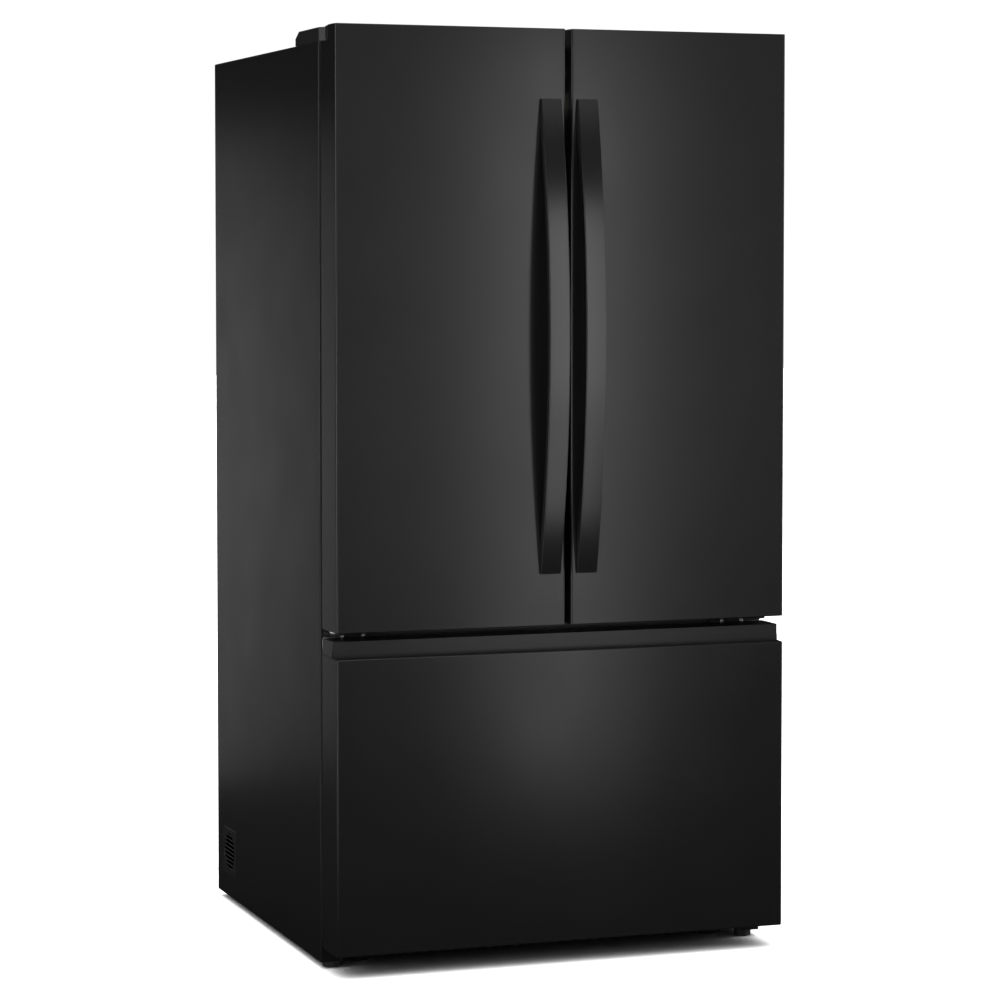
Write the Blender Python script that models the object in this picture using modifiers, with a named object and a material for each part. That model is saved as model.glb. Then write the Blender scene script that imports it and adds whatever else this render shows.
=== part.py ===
"""French door refrigerator with two upper doors and a freezer drawer.

Metres, +Z up, front towards -Y. The origin is on the floor, under the middle of the whole object.
"""

import math

import bmesh
import bpy
from mathutils import Matrix, Vector

# ---- Driving dimensions ----
WIDTH = 0.908
HEIGHT = 1.781              # top of the doors and of the hinge covers
BODY_DEPTH = 0.880          # door front to cabinet back
COVER_RISE = 0.027          # doors and hinge covers above the cabinet top
CABINET_BOTTOM = 0.013
SHEET = 0.0015              # steel wrapper
FLANGE = 0.040              # wrapper's front return
LINER_WALL = 0.0025
GAP = 0.0003                # clearance between solids that touch

DOOR_THICK = 0.096
DOOR_SKIN = 0.001
DOOR_SETBACK = 0.110        # door front to cabinet front
DOOR_EDGE_R = 0.004
DOOR_BOTTOM = 0.6515
SPLIT_X = 0.0055            # middle of the gap between the upper doors
SPLIT_GAP = 0.012
PIVOT_INSET = 0.022         # hinge axis from the door's outer side
PIVOT_DEPTH = 0.072         # hinge axis behind the door front
NOTCH_WIDTH = 0.046
NOTCH_FROM = 0.048          # notch starts this far behind the door front

DRAWER_BOTTOM = 0.043
DRAWER_LIP = 0.602          # top of the front panel
DRAWER_TOP = 0.6335         # top of the set-back strip
STRIP_SETBACK = 0.028
POCKET_DEPTH = 0.027
LIP_THICK = 0.0065

HANDLE_WIDTH = 0.041
HANDLE_OFFSET = 0.0368      # handle centre from the middle of the gap
HANDLE_BOTTOM = 0.750
HANDLE_LENGTH = 0.8985
HANDLE_REACH = 0.055        # front of the bow from the door
HANDLE_END = 0.005          # front of the ends from the door
HANDLE_BAR = 0.013          # thickness in the middle of the bow
HANDLE_FOOT = 0.056         # length of each end that lies on the door

FRESH_SIDE = 0.048          # insulated wall beside the fresh-food space
FRESH_FLOOR = 0.698
FREEZER_SIDE = 0.060
FREEZER_FLOOR = 0.090
RAIL_BOTTOM = 0.595         # centre rail between the two spaces
RAIL_TOP = 0.690
BACK_WALL = 0.055
MACHINE_DEPTH = 0.2675
MACHINE_TOP = 0.315
BASE_TOP = 0.053
BASE_RAIL_TOP = 0.082

GASKET_WIDTH = 0.016
GASKET_INSET = 0.022

ROLLER_R = 0.0225
ROLLER_WIDTH = 0.030
AXLE_R = 0.004
FOOT_R = 0.0175
FOOT_HEIGHT = 0.016
STUD_R = 0.005

PIN_R = 0.004
PIN_PLAY = 0.0004
HINGE_PLATE = 0.004

SHELF_THICK = 0.014
TRAY_RIM = 0.003
BIN_WALL = 0.0025
CRISPER_HEIGHT = 0.190
CRISPER_FRONT = 0.150       # crisper front behind the cabinet front
DRAWER_RAIL_RISE = 0.282    # freezer rail above the freezer floor
DRAWER_RAIL_HEIGHT = 0.040
BASKET_WALL = 0.003

# ---- Planes worked out from them ----
CABINET_TOP = HEIGHT - COVER_RISE
NOTCH_FLOOR = CABINET_TOP - 0.001
OVERALL_DEPTH = BODY_DEPTH + HANDLE_REACH
FRONT = -OVERALL_DEPTH / 2 + HANDLE_REACH
BACK = OVERALL_DEPTH / 2
CABINET_FRONT = FRONT + DOOR_SETBACK
DOOR_BACK = FRONT + DOOR_THICK
HALF = WIDTH / 2
INSIDE = HALF - SHEET - GAP
FLANGE_IN = HALF - FLANGE
FRESH_X = HALF - FRESH_SIDE
FRESH_CEILING = CABINET_TOP - FRESH_SIDE
FREEZER_X = HALF - FREEZER_SIDE
FREEZER_CEILING = RAIL_BOTTOM - 0.008
DRAWER_RAIL_Z = FREEZER_FLOOR + DRAWER_RAIL_RISE
CAVITY_BACK = BACK - BACK_WALL
MACHINE_FRONT = BACK - MACHINE_DEPTH
STEP_Y = MACHINE_FRONT - 0.050
STEP_Z = MACHINE_TOP + 0.045
PIVOT_X = HALF - PIVOT_INSET
PIVOT_Y = FRONT + PIVOT_DEPTH
SEAL_BACK = CABINET_FRONT - GAP
DYKE_BACK = CABINET_FRONT + 0.050
BIN_BACK = CABINET_FRONT + 0.085

BLACK = (0.008, 0.008, 0.009)
WHITE = (0.80, 0.81, 0.82)
STEEL = (0.55, 0.56, 0.57)
DARK = (0.03, 0.03, 0.03)
CLEAR = (0.82, 0.88, 0.90)

for old in list(bpy.data.objects):
    bpy.data.objects.remove(old)


def collection(name, hidden=False):
    made = bpy.data.collections.new(name)
    made.hide_render = hidden
    bpy.context.scene.collection.children.link(made)
    return made


PARTS = collection("french_door_refrigerator")
CUTTERS = collection("cutters", hidden=True)


def material(name, colour, roughness, metallic):
    """One Principled material for each finish and piece."""
    made = bpy.data.materials.new(name)
    made.use_nodes = True
    shader = made.node_tree.nodes["Principled BSDF"]
    shader.inputs["Base Color"].default_value = (*colour, 1.0)
    shader.inputs["Roughness"].default_value = roughness
    shader.inputs["Metallic"].default_value = metallic
    made.diffuse_color = (*colour, 1.0)
    return made


def add(name, mesh, where=(0, 0, 0), look=(BLACK, 0.4, 0.0)):
    """A sub-part: its mesh is centred on its own origin, which is placed in the model."""
    obj = bpy.data.objects.new(name, mesh)
    obj.location = where
    mesh.materials.append(material(name, *look))
    PARTS.objects.link(obj)
    return obj


def box_mesh(name, size):
    mesh = bpy.data.meshes.new(name)
    bm = bmesh.new()
    bmesh.ops.create_cube(bm, size=1.0, matrix=Matrix.Diagonal((*size, 1.0)))
    bm.to_mesh(mesh)
    bm.free()
    return mesh


def corners(low, high):
    low, high = Vector(low), Vector(high)
    return (low + high) / 2, high - low


def box(name, low, high, look=(BLACK, 0.4, 0.0)):
    centre, size = corners(low, high)
    return add(name, box_mesh(name, size), centre, look)


def rod_mesh(name, radius, length, axis, sides=24):
    """A closed cylinder about its own origin, along X, Y or Z."""
    turn = {
        "X": Matrix.Rotation(math.pi / 2, 4, "Y"),
        "Y": Matrix.Rotation(math.pi / 2, 4, "X"),
        "Z": Matrix.Identity(4),
    }[axis]
    mesh = bpy.data.meshes.new(name)
    bm = bmesh.new()
    bmesh.ops.create_cone(bm, cap_ends=True, segments=sides, radius1=radius, radius2=radius,
                          depth=length, matrix=turn)
    bm.to_mesh(mesh)
    bm.free()
    return mesh


def prism_mesh(name, outline, length, axis):
    """A flat outline extruded along X (outline in Y, Z) or Z (outline in X, Y), as a mesh."""
    curve = bpy.data.curves.new(name, "CURVE")
    curve.dimensions = "2D"
    curve.fill_mode = "BOTH"
    curve.extrude = length / 2
    spline = curve.splines.new("POLY")
    spline.points.add(len(outline) - 1)
    for point, (u, v) in zip(spline.points, outline):
        point.co = (u, v, 0.0, 1.0)
    spline.use_cyclic_u = True
    holder = bpy.data.objects.new(name + "_outline", curve)
    CUTTERS.objects.link(holder)
    bpy.context.view_layer.update()
    mesh = bpy.data.meshes.new_from_object(holder.evaluated_get(bpy.context.evaluated_depsgraph_get()))
    bpy.data.objects.remove(holder)
    bm = bmesh.new()
    bm.from_mesh(mesh)
    bmesh.ops.remove_doubles(bm, verts=bm.verts, dist=0.00001)
    if axis == "X":
        turn = Matrix(((0, 0, 1, 0), (1, 0, 0, 0), (0, 1, 0, 0), (0, 0, 0, 1)))
        bmesh.ops.transform(bm, matrix=turn, verts=bm.verts)
    bmesh.ops.recalc_face_normals(bm, faces=bm.faces)
    bm.to_mesh(mesh)
    bm.free()
    return mesh


def turned_mesh(name, profile, axis, sides=24):
    """A closed (radius, height) profile turned about its own origin, along X, Y or Z."""
    bm = bmesh.new()
    ring = [bm.verts.new((r, 0.0, h)) for r, h in profile]
    edges = [bm.edges.new((a, b)) for a, b in zip(ring, ring[1:] + ring[:1])]
    bmesh.ops.spin(bm, geom=ring + edges, cent=(0, 0, 0), axis=(0, 0, 1), angle=2 * math.pi,
                   steps=sides, use_merge=True)
    bmesh.ops.remove_doubles(bm, verts=bm.verts, dist=0.00001)
    turn = {
        "X": Matrix.Rotation(math.pi / 2, 4, "Y"),
        "Y": Matrix.Rotation(-math.pi / 2, 4, "X"),
        "Z": Matrix.Identity(4),
    }[axis]
    bmesh.ops.transform(bm, matrix=turn, verts=bm.verts)
    bmesh.ops.recalc_face_normals(bm, faces=bm.faces)
    mesh = bpy.data.meshes.new(name)
    bm.to_mesh(mesh)
    bm.free()
    return mesh


def cutter(mesh, where):
    obj = bpy.data.objects.new("cut_" + mesh.name, mesh)
    obj.location = where
    obj.display_type = "WIRE"
    obj.hide_render = True
    CUTTERS.objects.link(obj)
    return obj


def join(obj, mesh, where, operation="UNION"):
    """Joins a shape to a sub-part, or cuts it away, at a place in the model."""
    modifier = obj.modifiers.new(mesh.name, "BOOLEAN")
    modifier.operation = operation
    modifier.solver = "EXACT"
    modifier.object = cutter(mesh, where)


def join_box(obj, low, high, operation="UNION"):
    centre, size = corners(low, high)
    join(obj, box_mesh(obj.name, size), centre, operation)


def cut_box(obj, low, high):
    join_box(obj, low, high, "DIFFERENCE")


def cut(obj, mesh, where):
    join(obj, mesh, where, "DIFFERENCE")


def arc(centre, radius, start, end, steps):
    """Points of an arc in degrees, both ends included."""
    angles = [math.radians(start + (end - start) * i / steps) for i in range(steps + 1)]
    return [(centre[0] + radius * math.cos(a), centre[1] + radius * math.sin(a)) for a in angles]


def pivot(name, where):
    """An empty on a joint's axis, which carries the pieces of a moving body."""
    empty = bpy.data.objects.new(name, None)
    empty.location = where
    PARTS.objects.link(empty)
    return empty


def carry(empty, *pieces):
    for piece in pieces:
        piece.parent = empty
        piece.location = piece.location - empty.location


def mirrored(side, low, high):
    """The two corners of a box given for the right side, on the side asked for (-1 is left)."""
    xs = sorted((side * low[0], side * high[0]))
    return (xs[0], *low[1:]), (xs[1], *high[1:])


SIDES = {"left": -1, "right": 1}

# ---- Cabinet ----
VENT_Y = FRONT + 0.782
VENT_Z = 0.108
VENT_PLATE_Y = 0.104
VENT_PLATE_Z = 0.098
VENT_CHAMFER = 0.010
VENT_R = 0.039
VENT_SLOTS = 7


def cabinet_shell():
    """Folded steel: two sides, the top and the front returns, open at the back and the bottom."""
    centre, size = corners((-HALF, CABINET_FRONT, CABINET_BOTTOM), (HALF, BACK, CABINET_TOP))
    mesh = box_mesh("cabinet_shell", size)
    bm = bmesh.new()
    bm.from_mesh(mesh)
    open_faces = [f for f in bm.faces if f.normal.y > 0.5 or f.normal.z < -0.5]
    bmesh.ops.delete(bm, geom=open_faces, context="FACES")
    bm.to_mesh(mesh)
    bm.free()
    shell = add("cabinet_shell", mesh, centre, (BLACK, 0.35, 0.0))
    solid = shell.modifiers.new("wall", "SOLIDIFY")
    solid.thickness = SHEET
    solid.offset = -1
    solid.use_even_offset = True
    cut_box(shell, (-FLANGE_IN, CABINET_FRONT - 0.01, -0.01),
            (FLANGE_IN, CABINET_FRONT + 0.01, CABINET_TOP - FLANGE))
    cut(shell, vent_plate_mesh("vent_opening", GAP, 0.02), (-HALF, VENT_Y, VENT_Z))
    return shell


def vent_plate_mesh(name, grow, thick):
    """A rectangle with its top rear corner cut off."""
    y, z = VENT_PLATE_Y / 2 + grow, VENT_PLATE_Z / 2 + grow
    return prism_mesh(name, [(-y, -z), (y, -z), (y, z - VENT_CHAMFER), (y - VENT_CHAMFER, z), (-y, z)],
                      thick, "X")


def side_vent_grille():
    """Moulded plate with a round field of horizontal louvres."""
    thick = 0.002
    plate = add("side_vent_grille", vent_plate_mesh("side_vent_grille", 0.0, thick),
                (-HALF + thick / 2, VENT_Y, VENT_Z), (DARK, 0.5, 0.0))
    pitch = 2 * VENT_R / (VENT_SLOTS + 0.5)
    for i in range(VENT_SLOTS):
        z = (i - (VENT_SLOTS - 1) / 2) * pitch
        reach = math.sqrt(VENT_R ** 2 - (abs(z) + pitch / 4) ** 2)
        cut_box(plate, (-HALF - 0.01, VENT_Y - reach, VENT_Z + z - pitch / 4),
                (-HALF + 0.01, VENT_Y + reach, VENT_Z + z + pitch / 4))
    return plate


COVER_TOP = MACHINE_TOP + 0.0045


def cabinet_back_panel():
    """Flat steel sheet that closes the foam at the back."""
    return box("cabinet_back_panel", (-INSIDE, BACK - SHEET, COVER_TOP + GAP),
               (INSIDE, BACK, CABINET_TOP - SHEET - GAP), (STEEL, 0.5, 0.6))


def machine_cover():
    """Lower rear sheet with air slots and the round hole of the mains lead."""
    cover = box("machine_cover", (-INSIDE, BACK - SHEET, CABINET_BOTTOM + 0.003),
                (INSIDE, BACK, COVER_TOP), (DARK, 0.6, 0.3))
    slots, slot_width, pitch = 9, 0.012, 0.026
    for x in (0.194 - HALF, HALF - 0.254):
        for i in range(slots):
            left = x + (i - slots / 2) * pitch
            cut_box(cover, (left, BACK - 0.01, MACHINE_TOP - 0.205),
                    (left + slot_width, BACK + 0.01, MACHINE_TOP - 0.065))
    cut(cover, rod_mesh("lead_hole", 0.009, 0.02, "Y", 16), (HALF - 0.054, BACK, MACHINE_TOP - 0.215))
    return cover


def cabinet_insulation():
    """Foamed core between the wrapper and the two liners."""
    front = CABINET_FRONT + LINER_WALL + 2 * GAP
    foam = box("cabinet_insulation", (-INSIDE, front, BASE_TOP + 0.003),
               (INSIDE, BACK - SHEET - GAP, CABINET_TOP - SHEET - GAP), ((0.75, 0.62, 0.35), 0.9, 0.0))
    reach = LINER_WALL + GAP
    ahead = CABINET_FRONT - 0.05
    cut_box(foam, (-FRESH_X - reach, ahead, FRESH_FLOOR - reach),
            (FRESH_X + reach, CAVITY_BACK + reach, FRESH_CEILING + reach))
    cut_box(foam, (-FREEZER_X - reach, ahead, FREEZER_FLOOR - reach),
            (FREEZER_X + reach, STEP_Y + reach, FREEZER_CEILING + reach))
    cut_box(foam, (-FREEZER_X - reach, ahead, STEP_Z - reach),
            (FREEZER_X + reach, CAVITY_BACK + reach, FREEZER_CEILING + reach))
    cut_box(foam, (-HALF, MACHINE_FRONT, 0.0), (HALF, BACK + 0.05, MACHINE_TOP))
    return foam


LEDGE = 0.008
LEDGE_HEIGHT = 0.006
SHELF_Z = FRESH_FLOOR + 0.702
LOWER_SHELF_Z = FRESH_FLOOR + 0.437
CRISPER_COVER_Z = FRESH_FLOOR + CRISPER_HEIGHT + 0.017
UPPER_BASKET_RIM = FREEZER_CEILING - 0.042


def fresh_food_liner():
    """White tub with a lip at the front and ledges for the lower shelf and the crisper cover."""
    wall = LINER_WALL
    liner = box("fresh_food_liner", (-FRESH_X - wall, CABINET_FRONT, FRESH_FLOOR - wall),
                (FRESH_X + wall, CAVITY_BACK + wall, FRESH_CEILING + wall), (WHITE, 0.3, 0.0))
    join_box(liner, (-FLANGE_IN + GAP, CABINET_FRONT, RAIL_TOP + GAP),
             (FLANGE_IN - GAP, CABINET_FRONT + wall, CABINET_TOP - FLANGE - GAP))
    cut_box(liner, (-FRESH_X, CABINET_FRONT - 0.01, FRESH_FLOOR), (FRESH_X, CAVITY_BACK, FRESH_CEILING))
    for z in (LOWER_SHELF_Z, CRISPER_COVER_Z):
        for side in SIDES.values():
            join_box(liner, *mirrored(side, (FRESH_X - LEDGE, SHELF_FRONT, z - LEDGE_HEIGHT),
                                      (FRESH_X + wall / 2, CAVITY_BACK - 0.02, z)))
    return liner


def freezer_liner():
    """White tub whose floor steps up over the machine space, with ledges for the upper basket."""
    wall = LINER_WALL
    liner = box("freezer_liner", (-FREEZER_X - wall, CABINET_FRONT, FREEZER_FLOOR - wall),
                (FREEZER_X + wall, STEP_Y + wall, FREEZER_CEILING + wall), (WHITE, 0.3, 0.0))
    join_box(liner, (-FREEZER_X - wall, STEP_Y - 0.05, STEP_Z - wall),
             (FREEZER_X + wall, CAVITY_BACK + wall, FREEZER_CEILING + wall))
    join_box(liner, (-FLANGE_IN + GAP, CABINET_FRONT, BASE_RAIL_TOP + GAP),
             (FLANGE_IN - GAP, CABINET_FRONT + wall, RAIL_BOTTOM - GAP))
    cut_box(liner, (-FREEZER_X, CABINET_FRONT - 0.01, FREEZER_FLOOR), (FREEZER_X, STEP_Y, FREEZER_CEILING))
    cut_box(liner, (-FREEZER_X, STEP_Y - 0.05, STEP_Z), (FREEZER_X, CAVITY_BACK, FREEZER_CEILING))
    for side in SIDES.values():
        join_box(liner, *mirrored(side,
                                  (FREEZER_X - 0.010, CABINET_FRONT + 0.040, UPPER_BASKET_RIM - 0.006),
                                  (FREEZER_X + wall / 2, EVAPORATOR_COVER_Y - 0.015, UPPER_BASKET_RIM)))
    return liner


def center_rail():
    """Steel bar across the front between the two spaces."""
    return box("center_rail", (-FLANGE_IN + GAP, CABINET_FRONT, RAIL_BOTTOM),
               (FLANGE_IN - GAP, CABINET_FRONT + LINER_WALL, RAIL_TOP), (BLACK, 0.35, 0.0))


FRONT_ROLLER_X = HALF - 0.092
FRONT_ROLLER_Y = CABINET_FRONT + 0.045
REAR_ROLLER_X = HALF - 0.054
REAR_ROLLER_Y = BACK - 0.055
FRONT_ROLLER_LIFT = 0.0015
FOOT_X = HALF - 0.027
FOOT_Y = CABINET_FRONT + 0.021
BASE_SHEET = 0.003


def base_frame():
    """Steel base: floor plate, front rail, roller ears with their axles and threaded foot holes."""
    base = box("base_frame", (-INSIDE, CABINET_FRONT + 0.003, BASE_TOP - BASE_SHEET),
               (INSIDE, BACK - SHEET - GAP, BASE_TOP), (DARK, 0.5, 0.6))
    join_box(base, (-FLANGE_IN + GAP, CABINET_FRONT, FOOT_HEIGHT + 0.004),
             (FLANGE_IN - GAP, CABINET_FRONT + LINER_WALL, BASE_RAIL_TOP))
    join_box(base, (-FLANGE_IN + GAP, CABINET_FRONT + 0.001, BASE_TOP - 2 * BASE_SHEET),
             (FLANGE_IN - GAP, CABINET_FRONT + 0.005, BASE_TOP - BASE_SHEET / 2))
    spots = [(side * FRONT_ROLLER_X, FRONT_ROLLER_Y,
              ROLLER_R + FRONT_ROLLER_LIFT) for side in SIDES.values()]
    spots += [(side * REAR_ROLLER_X, REAR_ROLLER_Y, ROLLER_R) for side in SIDES.values()]
    ear_gap, ear = ROLLER_WIDTH / 2 + 0.001, 0.003
    for x, y, z in spots:
        for side in SIDES.values():
            inner, outer = sorted((x + side * ear_gap, x + side * (ear_gap + ear)))
            join_box(base, (inner, y - 0.018, 0.008), (outer, y + 0.018, BASE_TOP - BASE_SHEET / 2))
        join(base, rod_mesh("axle", AXLE_R, 2 * ear_gap + ear, "X", 12), (x, y, z))
    for side in SIDES.values():
        cut(base, rod_mesh("foot_hole", STUD_R + GAP, 0.02, "Z", 12), (side * FOOT_X, FOOT_Y, BASE_TOP))
    return base


def leveling_foot(name, side):
    """Six-sided foot on a screw that stands in the base plate."""
    where = (side * FOOT_X, FOOT_Y, 0.0)
    foot = add(name, turned_mesh(name, [(0.0, 0.0), (FOOT_R - 0.003, 0.0), (FOOT_R, 0.003),
                                        (FOOT_R, FOOT_HEIGHT), (STUD_R, FOOT_HEIGHT),
                                        (STUD_R, BASE_TOP + 0.0015), (0.0, BASE_TOP + 0.0015)], "Z", 12),
               where, (DARK, 0.5, 0.0))
    return foot


def roller(name, x, y, z):
    """Plastic wheel with a running bore."""
    r, half = ROLLER_R, ROLLER_WIDTH / 2
    bore, edge = AXLE_R + PIN_PLAY, 0.002
    return add(name, turned_mesh(name, [(bore, -half), (r - edge, -half), (r, edge - half),
                                        (r, half - edge), (r - edge, half), (bore, half)], "X", 20),
               (x, y, z), (DARK, 0.4, 0.0))


# ---- Machine space ----
FAN_X = -0.060
FAN_Y = BACK - 0.140
FAN_Z = BASE_TOP + 0.132
FAN_R = 0.075
FAN_HUB = 0.016             # length of a fan's hub


def compressor():
    """Welded steel pot on a mounting plate."""
    x, y, floor, r, height = HALF - 0.204, BACK - 0.135, BASE_TOP + GAP, 0.080, 0.175
    profile = [(0.0, 0.010), (r * 0.8, 0.010), (r * 0.97, 0.030), (r, 0.055), (r, height - 0.060)]
    profile += [(r * math.cos(math.radians(a)), height - 0.060 + 0.060 * math.sin(math.radians(a)))
                for a in (25, 50, 72)]
    profile += [(0.0, height)]
    pot = add("compressor", turned_mesh("compressor", profile, "Z", 24), (x, y, floor), (DARK, 0.45, 0.2))
    join_box(pot, (x - 0.095, y - 0.055, floor), (x + 0.095, y + 0.055, floor + 0.014))
    return pot


def condenser_coil():
    """Tube bent back and forth in two flat layers."""
    tube, bends, pitch = 0.0032, 6, 0.034
    x0, y0, z0, depth = 0.054 - HALF, MACHINE_FRONT + 0.030, BASE_TOP + 0.030, MACHINE_DEPTH - 0.0775
    curve = bpy.data.curves.new("condenser_coil", "CURVE")
    curve.dimensions = "3D"
    curve.bevel_depth = tube
    curve.bevel_resolution = 2
    curve.use_fill_caps = True
    spline = curve.splines.new("POLY")
    points = []
    for layer in (0, 1):
        x = x0 + layer * 0.075
        rows = range(bends) if layer == 0 else range(bends - 1, -1, -1)
        for i in rows:
            ends = [y0, y0 + depth]
            if i % 2:
                ends.reverse()
            if layer:
                ends.reverse()
            points += [(x, ends[0], z0 + i * pitch), (x, ends[1], z0 + i * pitch)]
    spline.points.add(len(points) - 1)
    for point, co in zip(spline.points, points):
        point.co = (*co, 1.0)
    holder = bpy.data.objects.new("condenser_route", curve)
    CUTTERS.objects.link(holder)
    bpy.context.view_layer.update()
    mesh = bpy.data.meshes.new_from_object(holder.evaluated_get(bpy.context.evaluated_depsgraph_get()))
    bpy.data.objects.remove(holder)
    bm = bmesh.new()
    bm.from_mesh(mesh)
    bmesh.ops.remove_doubles(bm, verts=bm.verts, dist=0.00001)
    bmesh.ops.recalc_face_normals(bm, faces=bm.faces)
    bm.to_mesh(mesh)
    bm.free()
    mesh.name = "condenser_coil"
    return add("condenser_coil", mesh, (0, 0, 0), (DARK, 0.5, 0.4))


def condenser_fan_shroud():
    """Square frame round the blades, with the motor held by a bar behind them."""
    half, thick = FAN_R + 0.014, 0.012
    shroud = box("condenser_fan_shroud", (FAN_X - thick, FAN_Y - half, BASE_TOP + GAP),
                 (FAN_X + thick, FAN_Y + half, FAN_Z + half), (DARK, 0.6, 0.0))
    cut(shroud, rod_mesh("fan_opening", FAN_R + 0.006, 0.06, "X", 28), (FAN_X, FAN_Y, FAN_Z))
    join(shroud, rod_mesh("fan_motor", 0.026, 0.040, "X", 16), (FAN_X + 0.042, FAN_Y, FAN_Z))
    shaft = 0.016
    join(shroud, rod_mesh("fan_shaft", 0.004, shaft, "X", 12),
         (FAN_X + FAN_HUB / 2 + GAP + shaft / 2, FAN_Y, FAN_Z))
    for z in (FAN_Z - 0.016, FAN_Z + 0.008):
        join_box(shroud, (FAN_X + 0.024, FAN_Y - half, z), (FAN_X + 0.034, FAN_Y + half, z + 0.008))
        for side in SIDES.values():
            y0, y1 = sorted((FAN_Y + side * half, FAN_Y + side * (half - 0.006)))
            join_box(shroud, (FAN_X, y0, z), (FAN_X + 0.034, y1, z + 0.008))
    return shroud


def fan_blade(name, centre, radius, axis, look):
    """Hub with five pitched blades."""
    hub, count, thick = radius * 0.28, 5, 0.0022
    fan = add(name, rod_mesh(name, hub, FAN_HUB, axis, 16), centre, look)
    pitch = math.radians(32)
    for i in range(count):
        turn = 2 * math.pi * i / count
        mesh = box_mesh("blade", (thick, radius * 0.52, radius - hub * 0.7))
        blade = Matrix.Rotation(turn, 4, "X") @ Matrix.Translation((0, 0, (radius + hub * 0.7) / 2))
        blade = blade @ Matrix.Rotation(math.pi / 2 - pitch, 4, "Z")
        if axis == "Y":
            blade = Matrix.Rotation(math.pi / 2, 4, "Z") @ blade
        mesh.transform(blade)
        join(fan, mesh, centre)
    return fan


# ---- Cold air ----
EVAPORATOR_COVER_Y = CAVITY_BACK - 0.085
EVAPORATOR_FAN_Z = FREEZER_CEILING - 0.062
EVAPORATOR_FAN_R = 0.042
EVAPORATOR_FAN_Y = EVAPORATOR_COVER_Y + 0.014
AIR_TOWER_Y = CAVITY_BACK - 0.028


def evaporator():
    """Finned block under the fan, behind the freezer's rear cover."""
    half = FREEZER_X - 0.144
    low = (-half, EVAPORATOR_COVER_Y + 0.014, STEP_Z + 0.015)
    high = (half, CAVITY_BACK - 0.012, STEP_Z + 0.105)
    block = box("evaporator", low, high, (STEEL, 0.4, 0.8))
    fins, slot = 14, 0.012
    pitch = (high[0] - low[0]) / fins
    for i in range(fins):
        x = low[0] + (i + 0.5) * pitch
        cut_box(block, (x - slot / 2, low[1] - 0.01, low[2] + 0.012),
                (x + slot / 2, low[1] + 0.030, high[2] - 0.012))
    return block


def evaporator_cover():
    """White panel across the back of the freezer, with the fan's ring and a row of return slots."""
    cover = box("evaporator_cover", (-FREEZER_X + GAP, EVAPORATOR_COVER_Y, STEP_Z + GAP),
                (FREEZER_X - GAP, EVAPORATOR_COVER_Y + 0.003, FREEZER_CEILING - GAP), (WHITE, 0.35, 0.0))
    join(cover, rod_mesh("fan_ring", EVAPORATOR_FAN_R + 0.010, 0.024, "Y", 24),
         (0.0, EVAPORATOR_COVER_Y + 0.012, EVAPORATOR_FAN_Z))
    cut(cover, rod_mesh("fan_mouth", EVAPORATOR_FAN_R + 0.005, 0.06, "Y", 24),
        (0.0, EVAPORATOR_COVER_Y + 0.012, EVAPORATOR_FAN_Z))
    centre_y, motor = EVAPORATOR_FAN_Y + FAN_HUB / 2 + GAP + 0.010, 0.020
    join(cover, rod_mesh("fan_motor", 0.017, motor, "Y", 16), (0.0, centre_y + motor / 2, EVAPORATOR_FAN_Z))
    join(cover, rod_mesh("fan_shaft", 0.003, 0.012, "Y", 12), (0.0, centre_y - 0.004, EVAPORATOR_FAN_Z))
    outer = EVAPORATOR_FAN_R + 0.009
    join_box(cover, (-outer, centre_y + 0.004, EVAPORATOR_FAN_Z - 0.006),
             (outer, centre_y + 0.009, EVAPORATOR_FAN_Z + 0.006))
    for side in SIDES.values():
        join_box(cover, *mirrored(side, (EVAPORATOR_FAN_R + 0.006, EVAPORATOR_COVER_Y + 0.015,
                                         EVAPORATOR_FAN_Z - 0.006),
                                  (outer, centre_y + 0.009, EVAPORATOR_FAN_Z + 0.006)))
    width, pitch = 0.030, 0.060
    slots = int(2 * (FREEZER_X - 0.07) / pitch)
    for i in range(slots):
        x = (i - (slots - 1) / 2) * pitch
        cut_box(cover, (x - width / 2, EVAPORATOR_COVER_Y - 0.01, STEP_Z + 0.022),
                (x + width / 2, EVAPORATOR_COVER_Y + 0.01, STEP_Z + 0.030))
    return cover


def air_tower():
    """Hollow duct up the back of the fresh-food space, open at the rear, with air slots."""
    half, low, high, wall = 0.110, FRESH_FLOOR + 0.257, FRESH_CEILING - 0.046, 0.003
    tower = box("air_tower", (-half, AIR_TOWER_Y, low), (half, CAVITY_BACK - GAP, high), (WHITE, 0.35, 0.0))
    cut_box(tower, (-half + wall, AIR_TOWER_Y + wall, low + wall),
            (half - wall, CAVITY_BACK + 0.01, high - wall))
    for rise in (0.075, 0.285, 0.495, 0.645):
        z = low + rise
        for side in SIDES.values():
            cut_box(tower, *mirrored(side, (0.045, AIR_TOWER_Y - 0.01, z),
                                     (0.095, AIR_TOWER_Y + 0.01, z + 0.010)))
    return tower


def control_panel():
    """Housing on the ceiling for the controls and the lamp, hollow above its window."""
    half_x, front, back, height = 0.190, CABINET_FRONT + 0.115, CABINET_FRONT + 0.375, 0.034
    top = FRESH_CEILING - GAP
    panel = box("control_panel", (-half_x, front, top - height), (half_x, back, top), (WHITE, 0.35, 0.0))
    cut_box(panel, (-half_x + 0.030, front + 0.080, top - height - 0.01),
            (half_x - 0.030, back - 0.030, top - 0.012))
    return panel


# ---- Shelves and drawers of the fresh-food space ----
SHELF_FRONT = CABINET_FRONT + 0.170
SHELF_BACK = CABINET_FRONT + 0.650


def tray(name, low, high, look=(CLEAR, 0.1, 0.0)):
    """Glass in a moulded rim that stands a little proud all round."""
    shelf = box(name, low, high, look)
    rim, lift = 0.012, TRAY_RIM
    cut_box(shelf, (low[0] + rim, low[1] + rim, high[2] - lift),
            (high[0] - rim, high[1] - rim, high[2] + 0.01))
    return shelf


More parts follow.
